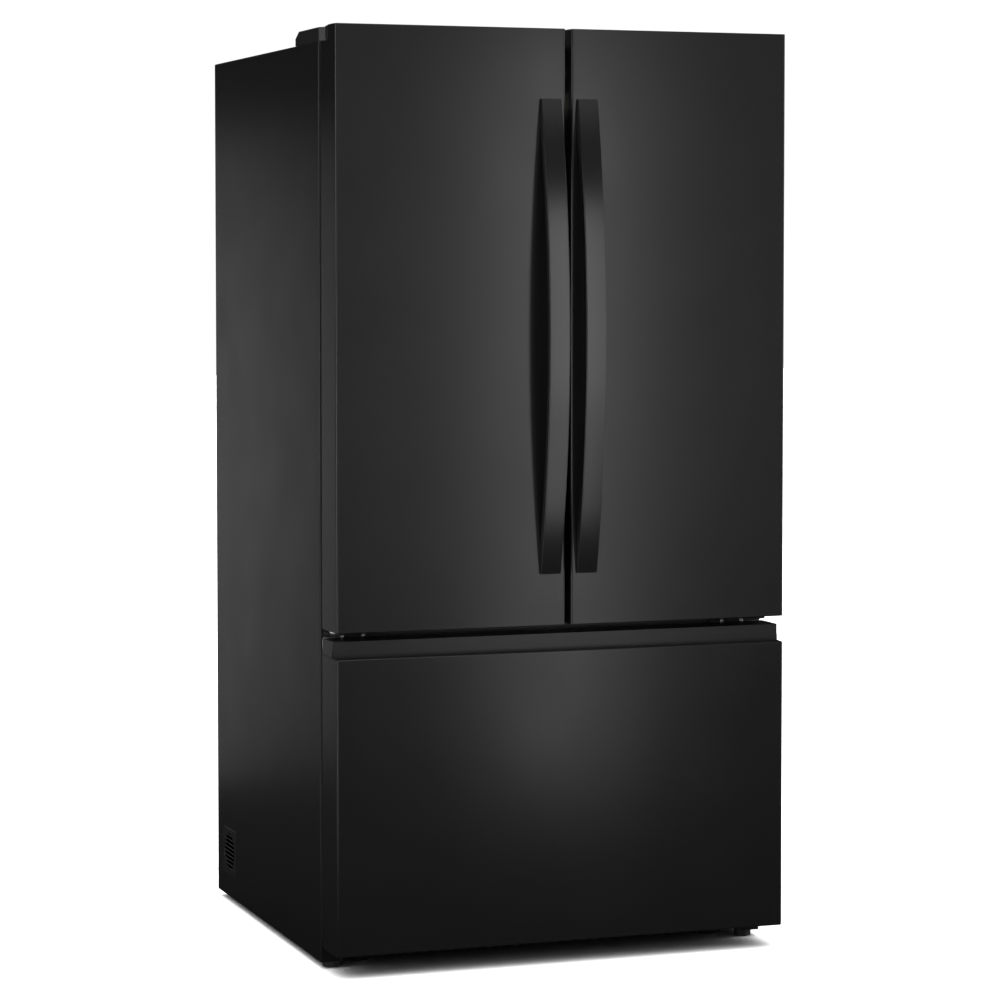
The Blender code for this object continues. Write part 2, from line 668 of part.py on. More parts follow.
def half_shelf(name, side):
    """Cantilevered half-width shelf on two steel arms that reach the rear wall."""
    inner, outer = 0.002, FRESH_X - 0.004
    low, high = mirrored(side, (inner, SHELF_FRONT, SHELF_Z), (outer, SHELF_BACK, SHELF_Z + SHELF_THICK))
    shelf = tray(name, low, high)
    arm, tall = 0.004, 0.034
    for x in (0.135, outer - 0.016):
        join_box(shelf, *mirrored(side, (x, SHELF_FRONT + 0.12, SHELF_Z - tall),
                                  (x + arm, CAVITY_BACK - GAP, SHELF_Z + 0.002)))
    return shelf


def lower_shelf():
    x = FRESH_X - 2 * GAP
    return tray("shelf_lower", (-x, SHELF_FRONT, LOWER_SHELF_Z + GAP),
                (x, SHELF_BACK, LOWER_SHELF_Z + SHELF_THICK))


def crisper_cover():
    """Glass lid over both crispers, with a centre wall between them."""
    x = FRESH_X - 2 * GAP
    z = CRISPER_COVER_Z
    lid = tray("crisper_cover", (-x, SHELF_FRONT - 0.015, z + GAP), (x, SHELF_BACK, z + SHELF_THICK))
    join_box(lid, (-0.003, SHELF_FRONT + 0.010, FRESH_FLOOR + GAP), (0.003, SHELF_BACK - 0.01, z + 0.002))
    return lid


def tub(name, low, high, wall, look, floor=None):
    """Open-topped bin."""
    made = box(name, low, high, look)
    cut_box(made, (low[0] + wall, low[1] + wall, low[2] + (floor or wall)),
            (high[0] - wall, high[1] - wall, high[2] + 0.05))
    return made


def crisper(name, side):
    """Clear drawer with a thick pull along its front."""
    bottom = FRESH_FLOOR + 0.004
    low, high = mirrored(side, (0.006, CABINET_FRONT + CRISPER_FRONT, bottom),
                         (FRESH_X - 0.005, CABINET_FRONT + 0.600, bottom + CRISPER_HEIGHT))
    made = tub(name, low, high, BIN_WALL, (CLEAR, 0.1, 0.0))
    front = low[1]
    join_box(made, (low[0], front - 0.012, high[2] - 0.026), (high[0], front + 0.001, high[2] - 0.020))
    runner = 0.0037
    for x in (low[0] + 0.02, high[0] - 0.028):
        join_box(made, (x, low[1] + 0.02, bottom - runner), (x + 0.008, high[1] - 0.02, bottom + 0.001))
    return made


# ---- Hinges ----
COVER_NECK_FROM = FRONT + 0.1008
COVER_WIDTH = 0.078
COVER_LENGTH = 0.172
COVER_WALL = 0.002
COVER_CORNER = 0.012
NOSE_R = 0.019
PLATE_BOTTOM = CABINET_TOP + 0.0005


def plate_outline(side, boss, neck_out, neck_in, front, near, far, back, corner=0.0):
    """Outline of a hinge arm: a wide foot on the cabinet, a neck and a round boss over the axis.

    The foot's outer front corner can be cut off, so that the open door clears it.
    """
    across = math.degrees(math.acos(neck_in / boss))
    out = math.degrees(math.acos(neck_out / boss))
    nose = arc((0.0, 0.0), boss, across, -180.0 - out, 12)
    points = [(x, PIVOT_Y + y) for x, y in nose]
    slope = 0.0015
    points += [(-neck_out, front)]
    if corner:
        points += [(corner - near, front + slope / 2)]
    points += [(-near, front + slope + corner), (-near, back), (far, back), (far, front + 3 * slope),
               (neck_in, front + slope / 2)]
    return [(side * (PIVOT_X - x), y) for x, y in points]


def top_hinge(name, side):
    """Steel plate screwed to the cabinet top, with the pin that stands in the door."""
    outline = plate_outline(side, 0.015, 0.004, 0.011, CABINET_FRONT + 0.006, PIVOT_INSET - 0.007,
                            0.042, CABINET_FRONT + 0.120)
    mesh = prism_mesh(name, outline, HINGE_PLATE, "Z")
    hinge = add(name, mesh, (0, 0, PLATE_BOTTOM + HINGE_PLATE / 2), (STEEL, 0.35, 0.9))
    reach, rooted = 0.018, HINGE_PLATE / 2
    join(hinge, rod_mesh("pin", PIN_R, reach + rooted, "Z", 16),
         (side * PIVOT_X, PIVOT_Y, PLATE_BOTTOM + (rooted - reach) / 2))
    return hinge


def hinge_cover(name, side):
    """Moulded cap over the hinge plate, chamfered at the back, hollow underneath."""
    top, bottom = HEIGHT, CABINET_TOP + 0.0005
    near, far = PIVOT_INSET - 0.002, COVER_WIDTH - PIVOT_INSET
    back = COVER_NECK_FROM + COVER_LENGTH
    outline = plate_outline(side, NOSE_R, 0.0062, 0.016, COVER_NECK_FROM, near, far, back, COVER_CORNER)
    cover = add(name, prism_mesh(name, outline, top - bottom, "Z"), (0, 0, (top + bottom) / 2),
                (BLACK, 0.4, 0.0))
    chamfer = prism_mesh("chamfer", [(back - 0.026, top + 0.001), (back + 0.01, top + 0.001),
                                     (back + 0.01, top - 0.0125), (back - 0.0005, top - 0.0125)], 0.2, "X")
    cut(cover, chamfer, (side * HALF, 0, 0))
    w = COVER_WALL
    inner = plate_outline(side, NOSE_R - w, 0.0062 - 0.0015, 0.016 - w, COVER_NECK_FROM + w, near - w,
                          far - w, back - w, COVER_CORNER)
    hollow = top - 0.0145
    cut(cover, prism_mesh("hollow", inner, hollow - bottom + 0.01, "Z"),
        (0, 0, (hollow + bottom - 0.01) / 2))
    return cover


def center_hinge(name, side):
    """Bracket on the cabinet front, with the pin under the door and a nylon washer round it."""
    arm_bottom, pin_top = DOOR_BOTTOM - 0.011, DOOR_BOTTOM + 0.0165
    near, far = PIVOT_INSET - 0.0065, 0.090
    outline = plate_outline(side, 0.014, 0.010, 0.0135, PIVOT_Y + 0.016, near, far, CABINET_FRONT - 0.002)
    hinge = add(name, prism_mesh(name, outline, HINGE_PLATE, "Z"),
                (0, 0, arm_bottom + HINGE_PLATE / 2), (STEEL, 0.35, 0.9))
    x0, x1 = side * (PIVOT_X + near - 0.001), side * (PIVOT_X - far - 0.001)
    join_box(hinge, (min(x0, x1), CABINET_FRONT - GAP - 0.003, arm_bottom - 0.0165),
             (max(x0, x1), CABINET_FRONT - GAP, arm_bottom + 0.0205))
    length = pin_top - (arm_bottom + 0.001)
    join(hinge, rod_mesh("pin", PIN_R, length, "Z", 16), (side * PIVOT_X, PIVOT_Y, pin_top - length / 2))
    washer = DOOR_BOTTOM - 0.0006 - (arm_bottom + 0.002)
    join(hinge, rod_mesh("washer", 0.009, washer, "Z", 16),
         (side * PIVOT_X, PIVOT_Y, arm_bottom + 0.002 + washer / 2))
    return hinge


# ---- Doors ----
DOOR_SPAN = {
    "left": (-HALF, SPLIT_X - SPLIT_GAP / 2),
    "right": (SPLIT_X + SPLIT_GAP / 2, HALF),
}
DYKE_OUTER = 0.054          # dyke from the door's hinged side
DYKE_FREE = {"left": 0.0575, "right": 0.0385}
DYKE_WALL = 0.018
DYKE_BOTTOM = FRESH_FLOOR + 0.014
DYKE_TOP = FRESH_CEILING - 0.014
BIN_HEIGHTS = {"lower": 0.130, "middle": 0.110, "upper": 0.095}
BIN_LEVELS = {"lower": DYKE_BOTTOM + 0.023, "middle": DYKE_BOTTOM + 0.358, "upper": DYKE_BOTTOM + 0.668}


def rounded_front(mesh, radius):
    """Rounds the upright edges at the front of a pan."""
    bm = bmesh.new()
    bm.from_mesh(mesh)
    front = min(v.co.y for v in bm.verts)
    edges = [e for e in bm.edges if all(abs(v.co.y - front) < 1e-6 for v in e.verts)
             and abs(e.verts[0].co.x - e.verts[1].co.x) < 1e-6]
    bmesh.ops.bevel(bm, geom=edges, offset=radius, segments=3, profile=0.5, affect="EDGES")
    bm.to_mesh(mesh)
    bm.free()


def pan(name, low, high, look):
    """Sheet steel door skin: the front with its four sides turned back, open at the rear."""
    centre, size = corners(low, high)
    mesh = box_mesh(name, size)
    rounded_front(mesh, DOOR_EDGE_R)
    bm = bmesh.new()
    bm.from_mesh(mesh)
    back = max(v.co.y for v in bm.verts)
    rear = [f for f in bm.faces if all(abs(v.co.y - back) < 1e-6 for v in f.verts)]
    bmesh.ops.delete(bm, geom=rear, context="FACES")
    bm.to_mesh(mesh)
    bm.free()
    skin = add(name, mesh, centre, look)
    solid = skin.modifiers.new("wall", "SOLIDIFY")
    solid.thickness = DOOR_SKIN
    solid.offset = -1
    solid.use_even_offset = True
    return skin


def core(name, low, high, look):
    """Foamed core inside a skin."""
    reach = DOOR_SKIN + GAP
    low = (low[0] + reach, low[1] + reach, low[2] + reach)
    high = (high[0] - reach, DOOR_BACK, high[2] - reach)
    centre, size = corners(low, high)
    mesh = box_mesh(name, size)
    rounded_front(mesh, DOOR_EDGE_R)
    return add(name, mesh, centre, look)


def notch(obj, side):
    """Clears the top rear corner at the hinged side for the hinge cover's nose."""
    low, high = mirrored(side, (HALF - NOTCH_WIDTH, FRONT + NOTCH_FROM, NOTCH_FLOOR),
                         (HALF + 0.01, DOOR_BACK + 0.01, HEIGHT + 0.01))
    cut_box(obj, low, high)


def dyke_box(side_name):
    x0, x1 = DOOR_SPAN[side_name]
    if side_name == "left":
        return x0 + DYKE_OUTER, x1 - DYKE_FREE["left"]
    return x0 + DYKE_FREE["right"], x1 - DYKE_OUTER


def door(side_name):
    side = SIDES[side_name]
    x0, x1 = DOOR_SPAN[side_name]
    low, high = (x0, FRONT, DOOR_BOTTOM), (x1, DOOR_BACK - 0.002, HEIGHT)
    skin = pan(side_name + "_door_skin", low, high, (BLACK, 0.3, 0.0))
    notch(skin, side)
    liner = core(side_name + "_door_liner", low, high, (WHITE, 0.35, 0.0))
    notch(liner, side)
    d0, d1 = dyke_box(side_name)
    join_box(liner, (d0, DOOR_BACK - 0.002, DYKE_BOTTOM), (d1, DYKE_BACK, DYKE_TOP))
    cut_box(liner, (d0 + DYKE_WALL, DOOR_BACK - 0.006, DYKE_BOTTOM + DYKE_WALL),
            (d1 - DYKE_WALL, DYKE_BACK + 0.01, DYKE_TOP - DYKE_WALL))
    pin = rod_mesh("pin_hole", PIN_R + PIN_PLAY, 0.042, "Z", 16)
    cut(liner, pin, (side * PIVOT_X, PIVOT_Y, NOTCH_FLOOR))
    cut(liner, pin.copy(), (side * PIVOT_X, PIVOT_Y, DOOR_BOTTOM))
    cut(skin, rod_mesh("pin_way", PIN_R + 0.002, 0.01, "Z", 16), (side * PIVOT_X, PIVOT_Y, DOOR_BOTTOM))
    pieces = [skin, liner, door_gasket(side_name), handle(side_name)]
    for level, bottom in BIN_LEVELS.items():
        pieces.append(door_bin(f"{side_name}_door_bin_{level}", d0, d1, bottom, BIN_HEIGHTS[level]))
    carry(pivot(side_name + "_door_axis", (side * PIVOT_X, PIVOT_Y, 0.0)), *pieces)
    return pieces


def ring(name, low, high, width, look):
    """Rectangular frame, seen from the front."""
    made = box(name, low, high, look)
    cut_box(made, (low[0] + width, low[1] - 0.01, low[2] + width),
            (high[0] - width, high[1] + 0.01, high[2] - width))
    return made


def door_gasket(side_name):
    x0, x1 = DOOR_SPAN[side_name]
    free = 0.008
    x0 += GASKET_INSET if side_name == "left" else free
    x1 -= GASKET_INSET if side_name == "right" else free
    return ring(side_name + "_door_gasket", (x0, DOOR_BACK + GAP, DOOR_BOTTOM + GASKET_INSET),
                (x1, SEAL_BACK, CABINET_TOP - 0.006), GASKET_WIDTH, ((0.25, 0.25, 0.26), 0.8, 0.0))


def bow(length, reach, steps):
    """Points (y, z) of an arc over a chord along Z, both ends at y = 0, from the bottom up."""
    radius = (length ** 2 / 4 + reach ** 2) / (2 * reach)
    half = math.degrees(math.asin(length / 2 / radius))
    return [(y + radius - reach, z) for y, z in arc((0.0, 0.0), radius, 180 + half, 180 - half, steps)]


def handle(side_name):
    """Flat bar bowed away from the door, tapering to thin ends that lie on it."""
    side = SIDES[side_name]
    middle = HANDLE_BOTTOM + HANDLE_LENGTH / 2
    front = [(FRONT - GAP - HANDLE_END + y, middle + z)
             for y, z in bow(HANDLE_LENGTH, HANDLE_REACH - HANDLE_END - GAP, 18)]
    inner = [(FRONT - GAP + y, middle + z)
             for y, z in bow(HANDLE_LENGTH - 2 * HANDLE_FOOT, HANDLE_REACH - HANDLE_BAR, 16)]
    outline = [(FRONT - GAP, HANDLE_BOTTOM)] + front + [(FRONT - GAP, HANDLE_BOTTOM + HANDLE_LENGTH)]
    outline += inner[::-1]
    x = SPLIT_X + side * HANDLE_OFFSET
    return add(side_name + "_handle", prism_mesh(side_name + "_handle", outline, HANDLE_WIDTH, "X"),
               (x, 0, 0),
               (BLACK, 0.3, 0.0))


def door_bin(name, d0, d1, bottom, tall):
    """Clear bin between the dyke's uprights."""
    play = 0.0007
    return tub(name, (d0 + DYKE_WALL + play, DOOR_BACK + 0.001, bottom),
               (d1 - DYKE_WALL - play, BIN_BACK, bottom + tall),
               BIN_WALL, (CLEAR, 0.1, 0.0))


MULLION_HINGE_X = DOOR_SPAN["left"][1] - 0.0435
MULLION_HINGE_Y = CABINET_FRONT + 0.012
MULLION_FREE = 0.008


def flipper_mullion():
    """Upright bar that closes the gap between the doors and folds against the left door's edge."""
    bar = box("flipper_mullion", (MULLION_HINGE_X - 0.006, CABINET_FRONT + 0.001, FRESH_FLOOR + 0.010),
              (DOOR_SPAN["left"][1] + MULLION_FREE, CABINET_FRONT + 0.024, FRESH_CEILING - 0.010),
              (DARK, 0.5, 0.0))
    carry(pivot("mullion_axis", (MULLION_HINGE_X, MULLION_HINGE_Y, 0.0)), bar)
    return bar


# ---- Freezer drawer ----
DRAWER_LINER_X = FREEZER_X - 0.009
DRAWER_LINER_BACK = CABINET_FRONT + 0.010


def drawer_front():
    """Painted steel pan up to the lip of the finger pocket."""
    skin = pan("drawer_front", (-HALF, FRONT, DRAWER_BOTTOM), (HALF, DOOR_BACK - 0.002, DRAWER_LIP),
               (BLACK, 0.3, 0.0))
    mouth = HALF - DOOR_SKIN
    cut_box(skin, (-mouth, FRONT + 0.004, DRAWER_LIP - 0.01), (mouth, DOOR_BACK + 0.01, DRAWER_LIP + 0.01))
    return skin


def drawer_handle_rail():
    """Full-width strip set back above the lip, with the finger pocket in front of it."""
    inner = HALF - DOOR_SKIN - GAP
    floor = DRAWER_LIP - POCKET_DEPTH
    rail = box("drawer_handle_rail", (-inner, FRONT + 0.0045, floor - 0.004),
               (inner, DOOR_BACK - 0.002, DRAWER_LIP),
               (BLACK, 0.35, 0.0))
    join_box(rail, (-HALF, FRONT + STRIP_SETBACK, DRAWER_LIP + GAP), (HALF, DOOR_BACK - 0.002, DRAWER_TOP))
    join_box(rail, (-inner, FRONT + STRIP_SETBACK, DRAWER_LIP - 0.005),
             (inner, DOOR_BACK - 0.002, DRAWER_LIP + 0.005))
    cut_box(rail, (-HALF, FRONT + LIP_THICK, floor), (HALF, FRONT + STRIP_SETBACK, DRAWER_LIP + 0.02))
    return rail


def drawer_liner():
    """Foamed core and white inner panel of the drawer front."""
    reach = DOOR_SKIN + GAP
    top = DRAWER_LIP - POCKET_DEPTH - 0.004 - GAP
    low = (-HALF + reach, FRONT + reach, DRAWER_BOTTOM + reach)
    centre, size = corners(low, (HALF - reach, DOOR_BACK - 0.002, top))
    mesh = box_mesh("drawer_liner", size)
    rounded_front(mesh, DOOR_EDGE_R)
    liner = add("drawer_liner", mesh, centre, (WHITE, 0.35, 0.0))
    join_box(liner, (-HALF + reach, DOOR_BACK - 0.002 + GAP, DRAWER_BOTTOM + reach),
             (HALF - reach, DOOR_BACK, DRAWER_TOP))
    join_box(liner, (0.014 - HALF, DOOR_BACK - 0.01, DRAWER_BOTTOM + 0.017),
             (HALF - 0.014, DOOR_BACK - 0.001, top - 0.01))
    join_box(liner, (-DRAWER_LINER_X, DOOR_BACK - 0.001, FREEZER_FLOOR + 0.012),
             (DRAWER_LINER_X, DRAWER_LINER_BACK, FREEZER_CEILING - 0.012))
    return liner


def drawer_gasket():
    return ring("drawer_gasket", (-HALF + GASKET_INSET, DOOR_BACK + GAP, DRAWER_BOTTOM + GASKET_INSET),
                (HALF - GASKET_INSET, SEAL_BACK, DRAWER_TOP - GASKET_INSET), GASKET_WIDTH,
                ((0.25, 0.25, 0.26), 0.8, 0.0))


def freezer_rail(name, side):
    """Fixed steel channel on the freezer's side wall, open inwards."""
    front, back = CABINET_FRONT + 0.018, EVAPORATOR_COVER_Y - 0.008
    wall, deep = 0.0015, 0.013
    outer = FREEZER_X - GAP
    low, high = mirrored(side, (outer - deep, front, DRAWER_RAIL_Z),
                         (outer, back, DRAWER_RAIL_Z + DRAWER_RAIL_HEIGHT))
    rail = box(name, low, high, (STEEL, 0.3, 0.9))
    cut_low, cut_high = mirrored(side, (outer - deep - 0.01, front - 0.01, DRAWER_RAIL_Z + wall),
                                 (outer - wall, back + 0.01, DRAWER_RAIL_Z + DRAWER_RAIL_HEIGHT - wall))
    cut_box(rail, cut_low, cut_high)
    return rail


FRAME_OUT = FREEZER_X - GAP - 0.0015 - 0.0010
FRAME_IN = FRAME_OUT - 0.012
LEDGE_IN = FRAME_IN - 0.011


def drawer_frame():
    """Two sliding rails joined by a cross bar, which carries the drawer front and the basket."""
    low_z, high_z = DRAWER_RAIL_Z + 0.0022, DRAWER_RAIL_Z + DRAWER_RAIL_HEIGHT - 0.0022
    front, back = DRAWER_LINER_BACK + GAP, EVAPORATOR_COVER_Y - 0.020
    bar = 0.003
    inner = LEDGE_IN
    frame = box("drawer_frame", (-inner - 0.004, front, low_z), (inner + 0.004, front + bar, high_z),
                (STEEL, 0.3, 0.9))
    for side in SIDES.values():
        join_box(frame, *mirrored(side, (FRAME_IN, front + 0.0005, low_z), (FRAME_OUT, back, high_z)))
        join_box(frame, *mirrored(side, (LEDGE_IN, front + 0.0005, low_z),
                                  (FRAME_IN + 0.001, back, low_z + bar)))
    return frame


def basket(name, half, front, back, bottom, rim, rim_half):
    """Tub with a rim that hangs on ledges."""
    made = tub(name, (-half, front, bottom), (half, back, rim), BASKET_WALL, (WHITE, 0.4, 0.0))
    lip = 0.003
    join_box(made, (-rim_half, front, rim - lip), (rim_half, back, rim))
    cut_box(made, (-half + BASKET_WALL, front + BASKET_WALL, rim - 0.02),
            (half - BASKET_WALL, back - BASKET_WALL, rim + 0.01))
    return made


def drawer_basket():
    ledge_top = DRAWER_RAIL_Z + 0.0022 + 0.003
    return basket("drawer_basket", LEDGE_IN - 0.002, DRAWER_LINER_BACK + 0.010, STEP_Y - 0.020,
                  FREEZER_FLOOR + 0.010, ledge_top + GAP + 0.003, FRAME_IN - 0.0005)


def upper_basket():
    return basket("freezer_upper_basket", FREEZER_X - 0.014, CABINET_FRONT + 0.060,
                  EVAPORATOR_COVER_Y - 0.018, DRAWER_RAIL_Z + DRAWER_RAIL_HEIGHT + 0.010,
                  UPPER_BASKET_RIM + GAP + 0.003, FREEZER_X - 0.0015)


# ---- Assembly ----
cabinet_shell()
cabinet_back_panel()
machine_cover()
cabinet_insulation()
fresh_food_liner()
freezer_liner()
center_rail()
base_frame()
side_vent_grille()
compressor()
condenser_coil()
condenser_fan_shroud()
fan_blade("condenser_fan_blade", (FAN_X, FAN_Y, FAN_Z), FAN_R, "X", (DARK, 0.4, 0.0))
evaporator()
evaporator_cover()
fan_blade("evaporator_fan_blade", (0.0, EVAPORATOR_FAN_Y, EVAPORATOR_FAN_Z), EVAPORATOR_FAN_R, "Y",
          (DARK, 0.4, 0.0))
air_tower()
control_panel()
lower_shelf()
crisper_cover()
for side_name, side in SIDES.items():
    leveling_foot("leveling_foot_" + side_name, side)
    roller("front_roller_" + side_name, side * FRONT_ROLLER_X, FRONT_ROLLER_Y, ROLLER_R + FRONT_ROLLER_LIFT)
    roller("rear_roller_" + side_name, side * REAR_ROLLER_X, REAR_ROLLER_Y, ROLLER_R)
    top_hinge("top_hinge_" + side_name, side)
    hinge_cover("hinge_cover_" + side_name, side)
    center_hinge("center_hinge_" + side_name, side)
    half_shelf("shelf_upper_" + side_name, side)
    crisper("crisper_" + side_name, side)
    freezer_rail("freezer_rail_" + side_name, side)
    door(side_name)
flipper_mullion()
drawer_pieces = [drawer_front(), drawer_handle_rail(), drawer_liner(), drawer_gasket(), drawer_frame(),
                 drawer_basket()]
carry(pivot("drawer_slide", (0.0, FRONT, DRAWER_BOTTOM)), *drawer_pieces)
upper_basket()
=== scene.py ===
"""Looks of the french door refrigerator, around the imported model."""

import math

import bpy
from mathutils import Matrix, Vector


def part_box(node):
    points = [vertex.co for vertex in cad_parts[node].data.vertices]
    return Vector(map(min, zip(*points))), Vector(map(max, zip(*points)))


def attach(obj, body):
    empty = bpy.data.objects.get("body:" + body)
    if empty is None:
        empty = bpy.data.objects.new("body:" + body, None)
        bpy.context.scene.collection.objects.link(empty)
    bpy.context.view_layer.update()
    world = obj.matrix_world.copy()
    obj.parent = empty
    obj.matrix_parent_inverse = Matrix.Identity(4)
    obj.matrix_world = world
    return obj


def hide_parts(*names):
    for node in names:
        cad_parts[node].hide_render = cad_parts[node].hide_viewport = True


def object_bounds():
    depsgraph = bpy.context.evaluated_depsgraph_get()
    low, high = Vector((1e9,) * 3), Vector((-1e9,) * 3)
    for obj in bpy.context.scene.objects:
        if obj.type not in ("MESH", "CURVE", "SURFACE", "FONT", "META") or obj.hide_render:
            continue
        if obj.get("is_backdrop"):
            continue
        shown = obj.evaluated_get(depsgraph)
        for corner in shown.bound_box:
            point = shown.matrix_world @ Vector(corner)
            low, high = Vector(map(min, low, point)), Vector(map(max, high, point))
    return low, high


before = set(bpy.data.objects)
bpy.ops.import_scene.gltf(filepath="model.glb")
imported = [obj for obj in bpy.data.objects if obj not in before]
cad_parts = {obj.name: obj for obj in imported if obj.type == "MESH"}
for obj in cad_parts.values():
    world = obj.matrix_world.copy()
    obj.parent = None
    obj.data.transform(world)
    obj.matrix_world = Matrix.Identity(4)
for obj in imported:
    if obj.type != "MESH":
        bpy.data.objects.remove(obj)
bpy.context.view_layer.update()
scene = bpy.context.scene

# ---- Camera ----
# A long lens ahead of the left front corner, a little above the middle of the upper doors.
eye = Vector((-2.165, -6.141, 1.349))
yaw, pitch = 0.34298, -0.05013
lens = bpy.data.cameras.new("camera")
lens.sensor_width = 36.0
lens.lens = 116.3
lens.shift_x = -0.0063
lens.shift_y = -0.08
lens.clip_end = 80.0
camera = bpy.data.objects.new("camera", lens)
camera.location = eye
camera.rotation_euler = (math.pi / 2 + pitch, 0.0, -yaw)
scene.collection.objects.link(camera)
scene.camera = camera
scene.view_settings.view_transform = "Standard"


# ---- Studio ----
# A pale seamless floor under an even white surround. What the gloss mirrors is dark, apart from
# the soft boxes round the object, so that black enamel keeps its depth.
def add_node(owner, kind, values=None, **settings):
    """Adds a shader node: settings are its own, and a value that is a socket becomes a link."""
    made = owner.node_tree.nodes.new("ShaderNode" + kind)
    for name, value in settings.items():
        setattr(made, name, value)
    for name, value in (values or {}).items():
        if isinstance(value, bpy.types.NodeSocket):
            owner.node_tree.links.new(value, made.inputs[name])
        else:
            made.inputs[name].default_value = value
    return made


def linear(colour):
    """A display colour such as "1c1c1d" as linear red, green, blue and alpha."""
    parts = [int(colour[i:i + 2], 16) / 255 for i in (0, 2, 4)]
    return [c / 12.92 if c <= 0.04045 else ((c + 0.055) / 1.055) ** 2.4 for c in parts] + [1.0]


world = bpy.data.worlds.new("studio")
world.use_nodes = True
scene.world = world
# The surround's brightness as the camera sees it, as it lights from the horizon and from overhead, and
# as the gloss mirrors it. It stays low near the horizon, so that the shadow under the object is close.
seen, horizon, zenith, mirrored_dark, steepness = 1.05, 0.02, 2.7, 0.012, 2.2
sky = add_node(world, "SeparateXYZ", {"Vector": add_node(world, "TexCoord").outputs["Generated"]})
rise = add_node(world, "Math", {0: sky.outputs["Z"], 1: steepness}, operation="POWER", use_clamp=True)
soft = add_node(world, "MapRange", {"Value": rise.outputs[0], "From Min": 0.0, "From Max": 1.0,
                                    "To Min": horizon, "To Max": zenith})
ray = add_node(world, "LightPath")
unlit = add_node(world, "Mix", {"Factor": ray.outputs["Is Camera Ray"], "A": soft.outputs["Result"],
                                "B": seen})
strength = add_node(world, "Mix", {"Factor": ray.outputs["Is Glossy Ray"], "A": unlit.outputs[0],
                                   "B": mirrored_dark})
world.node_tree.links.new(strength.outputs[0], world.node_tree.nodes["Background"].inputs["Strength"])
world.node_tree.nodes["Background"].inputs["Color"].default_value = (1.0, 1.0, 1.0, 1.0)

bpy.ops.mesh.primitive_plane_add(size=60.0, location=(0.0, 0.0, 0.0))
floor = bpy.context.object
floor.name = "floor"
# Matt white paper, shown burnt out, and dark where the gloss mirrors it.
paper_seen, paper_bounced, paper_mirrored = 1.9, 0.75, 0.022
paper = bpy.data.materials.new("white_paper")
paper.use_nodes = True
paper.node_tree.nodes.remove(paper.node_tree.nodes["Principled BSDF"])
paper_ray = add_node(paper, "LightPath")
paper_lit = add_node(paper, "Mix", {"Factor": paper_ray.outputs["Is Camera Ray"], "A": paper_bounced,
                                    "B": paper_seen})
paper_white = add_node(paper, "Mix", {"Factor": paper_ray.outputs["Is Glossy Ray"],
                                      "A": paper_lit.outputs[0], "B": paper_mirrored})
paper_matt = add_node(paper, "BsdfDiffuse", {"Color": paper_white.outputs[0]})
paper.node_tree.links.new(paper_matt.outputs[0], paper.node_tree.nodes["Material Output"].inputs["Surface"])
floor.data.materials.append(paper)
floor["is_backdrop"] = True

# The soft boxes light the object only, so that the floor keeps one close shadow from the surround.
beside_floor = bpy.data.collections.new("beside_floor")
beside_floor.objects.link(floor)
beside_floor.collection_objects[0].light_linking.link_state = "EXCLUDE"


def soft_box(name, where, towards, width, height, watts, shape="RECTANGLE"):
    """A panel of light at a place, facing a point, that the camera doesn't see."""
    data = bpy.data.lights.new(name, "AREA")
    data.shape = shape
    data.size, data.size_y = width, height
    data.energy = watts
    made = bpy.data.objects.new(name, data)
    made.location = where
    made.rotation_euler = (Vector(towards) - Vector(where)).to_track_quat("-Z", "Y").to_euler()
    made.visible_camera = False
    made.light_linking.receiver_collection = beside_floor
    scene.collection.objects.link(made)


soft_box("front_strip_upper", (0.66, -2.21, 1.385), (-0.02, -0.41, 1.385), 0.22, 1.07, 2.60)
soft_box("front_strip_lower", (0.66, -2.21, 0.45), (-0.02, -0.41, 0.45), 0.22, 0.80, 1.55)
soft_box("front_strip_across", (-0.66, -2.21, 0.985), (0.02, -0.41, 0.985), 0.22, 1.87, 4.0)
soft_box("front_fill", (1.5, -4.6, 1.45), (0.0, -0.41, 1.2), 4.2, 2.5, 9.0)
soft_box("front_high_fill", (0.9, -3.2, 3.7), (0.0, -0.41, 1.5), 2.6, 1.5, 9.0)
soft_box("left_panel", (-0.93, 2.05, 0.865), (-0.454, 0.15, 0.865), 0.20, 1.72, 0.70, "ELLIPSE")
soft_box("right_panel", (0.93, 2.05, 0.865), (0.454, 0.15, 0.865), 0.20, 1.72, 0.70, "ELLIPSE")
soft_box("left_wall", (-4.2, 0.0, 1.2), (-0.454, 0.0, 1.0), 2.6, 2.2, 9.0)
soft_box("right_wall", (4.2, 0.0, 1.2), (0.454, 0.0, 1.0), 2.6, 2.2, 9.0)
soft_box("rear_wall", (0.0, 3.2, 1.3), (0.0, 0.4675, 1.0), 1.1, 1.9, 5.0)
soft_box("left_edge_strip", (-3.2, -1.35, 1.15), (-0.454, -0.41, 1.0), 0.7, 2.3, 26.0)
soft_box("right_edge_strip", (3.2, -1.35, 1.15), (0.454, -0.41, 1.0), 0.7, 2.3, 26.0)
for name, x, y, width, depth, watts in (("left_front", -2.2, -2.6, 2.6, 2.6, 16.0),
                                        ("right_front", 3.8, -1.8, 2.0, 2.2, 10.0),
                                        ("left", -2.7, 0.3, 2.0, 2.4, 5.0),
                                        ("right", 2.7, 0.3, 2.0, 2.4, 10.0),
                                        ("rear", 0.0, 2.9, 1.5, 2.2, 5.0)):
    soft_box("floor_glow_" + name, (x, y, 0.02), (x, y, 1.0), width, depth, watts)
soft_box("ceiling_panel", (-0.4, -1.2, 4.2), (0.0, 0.0, 1.6), 2.4, 1.6, 42.0)


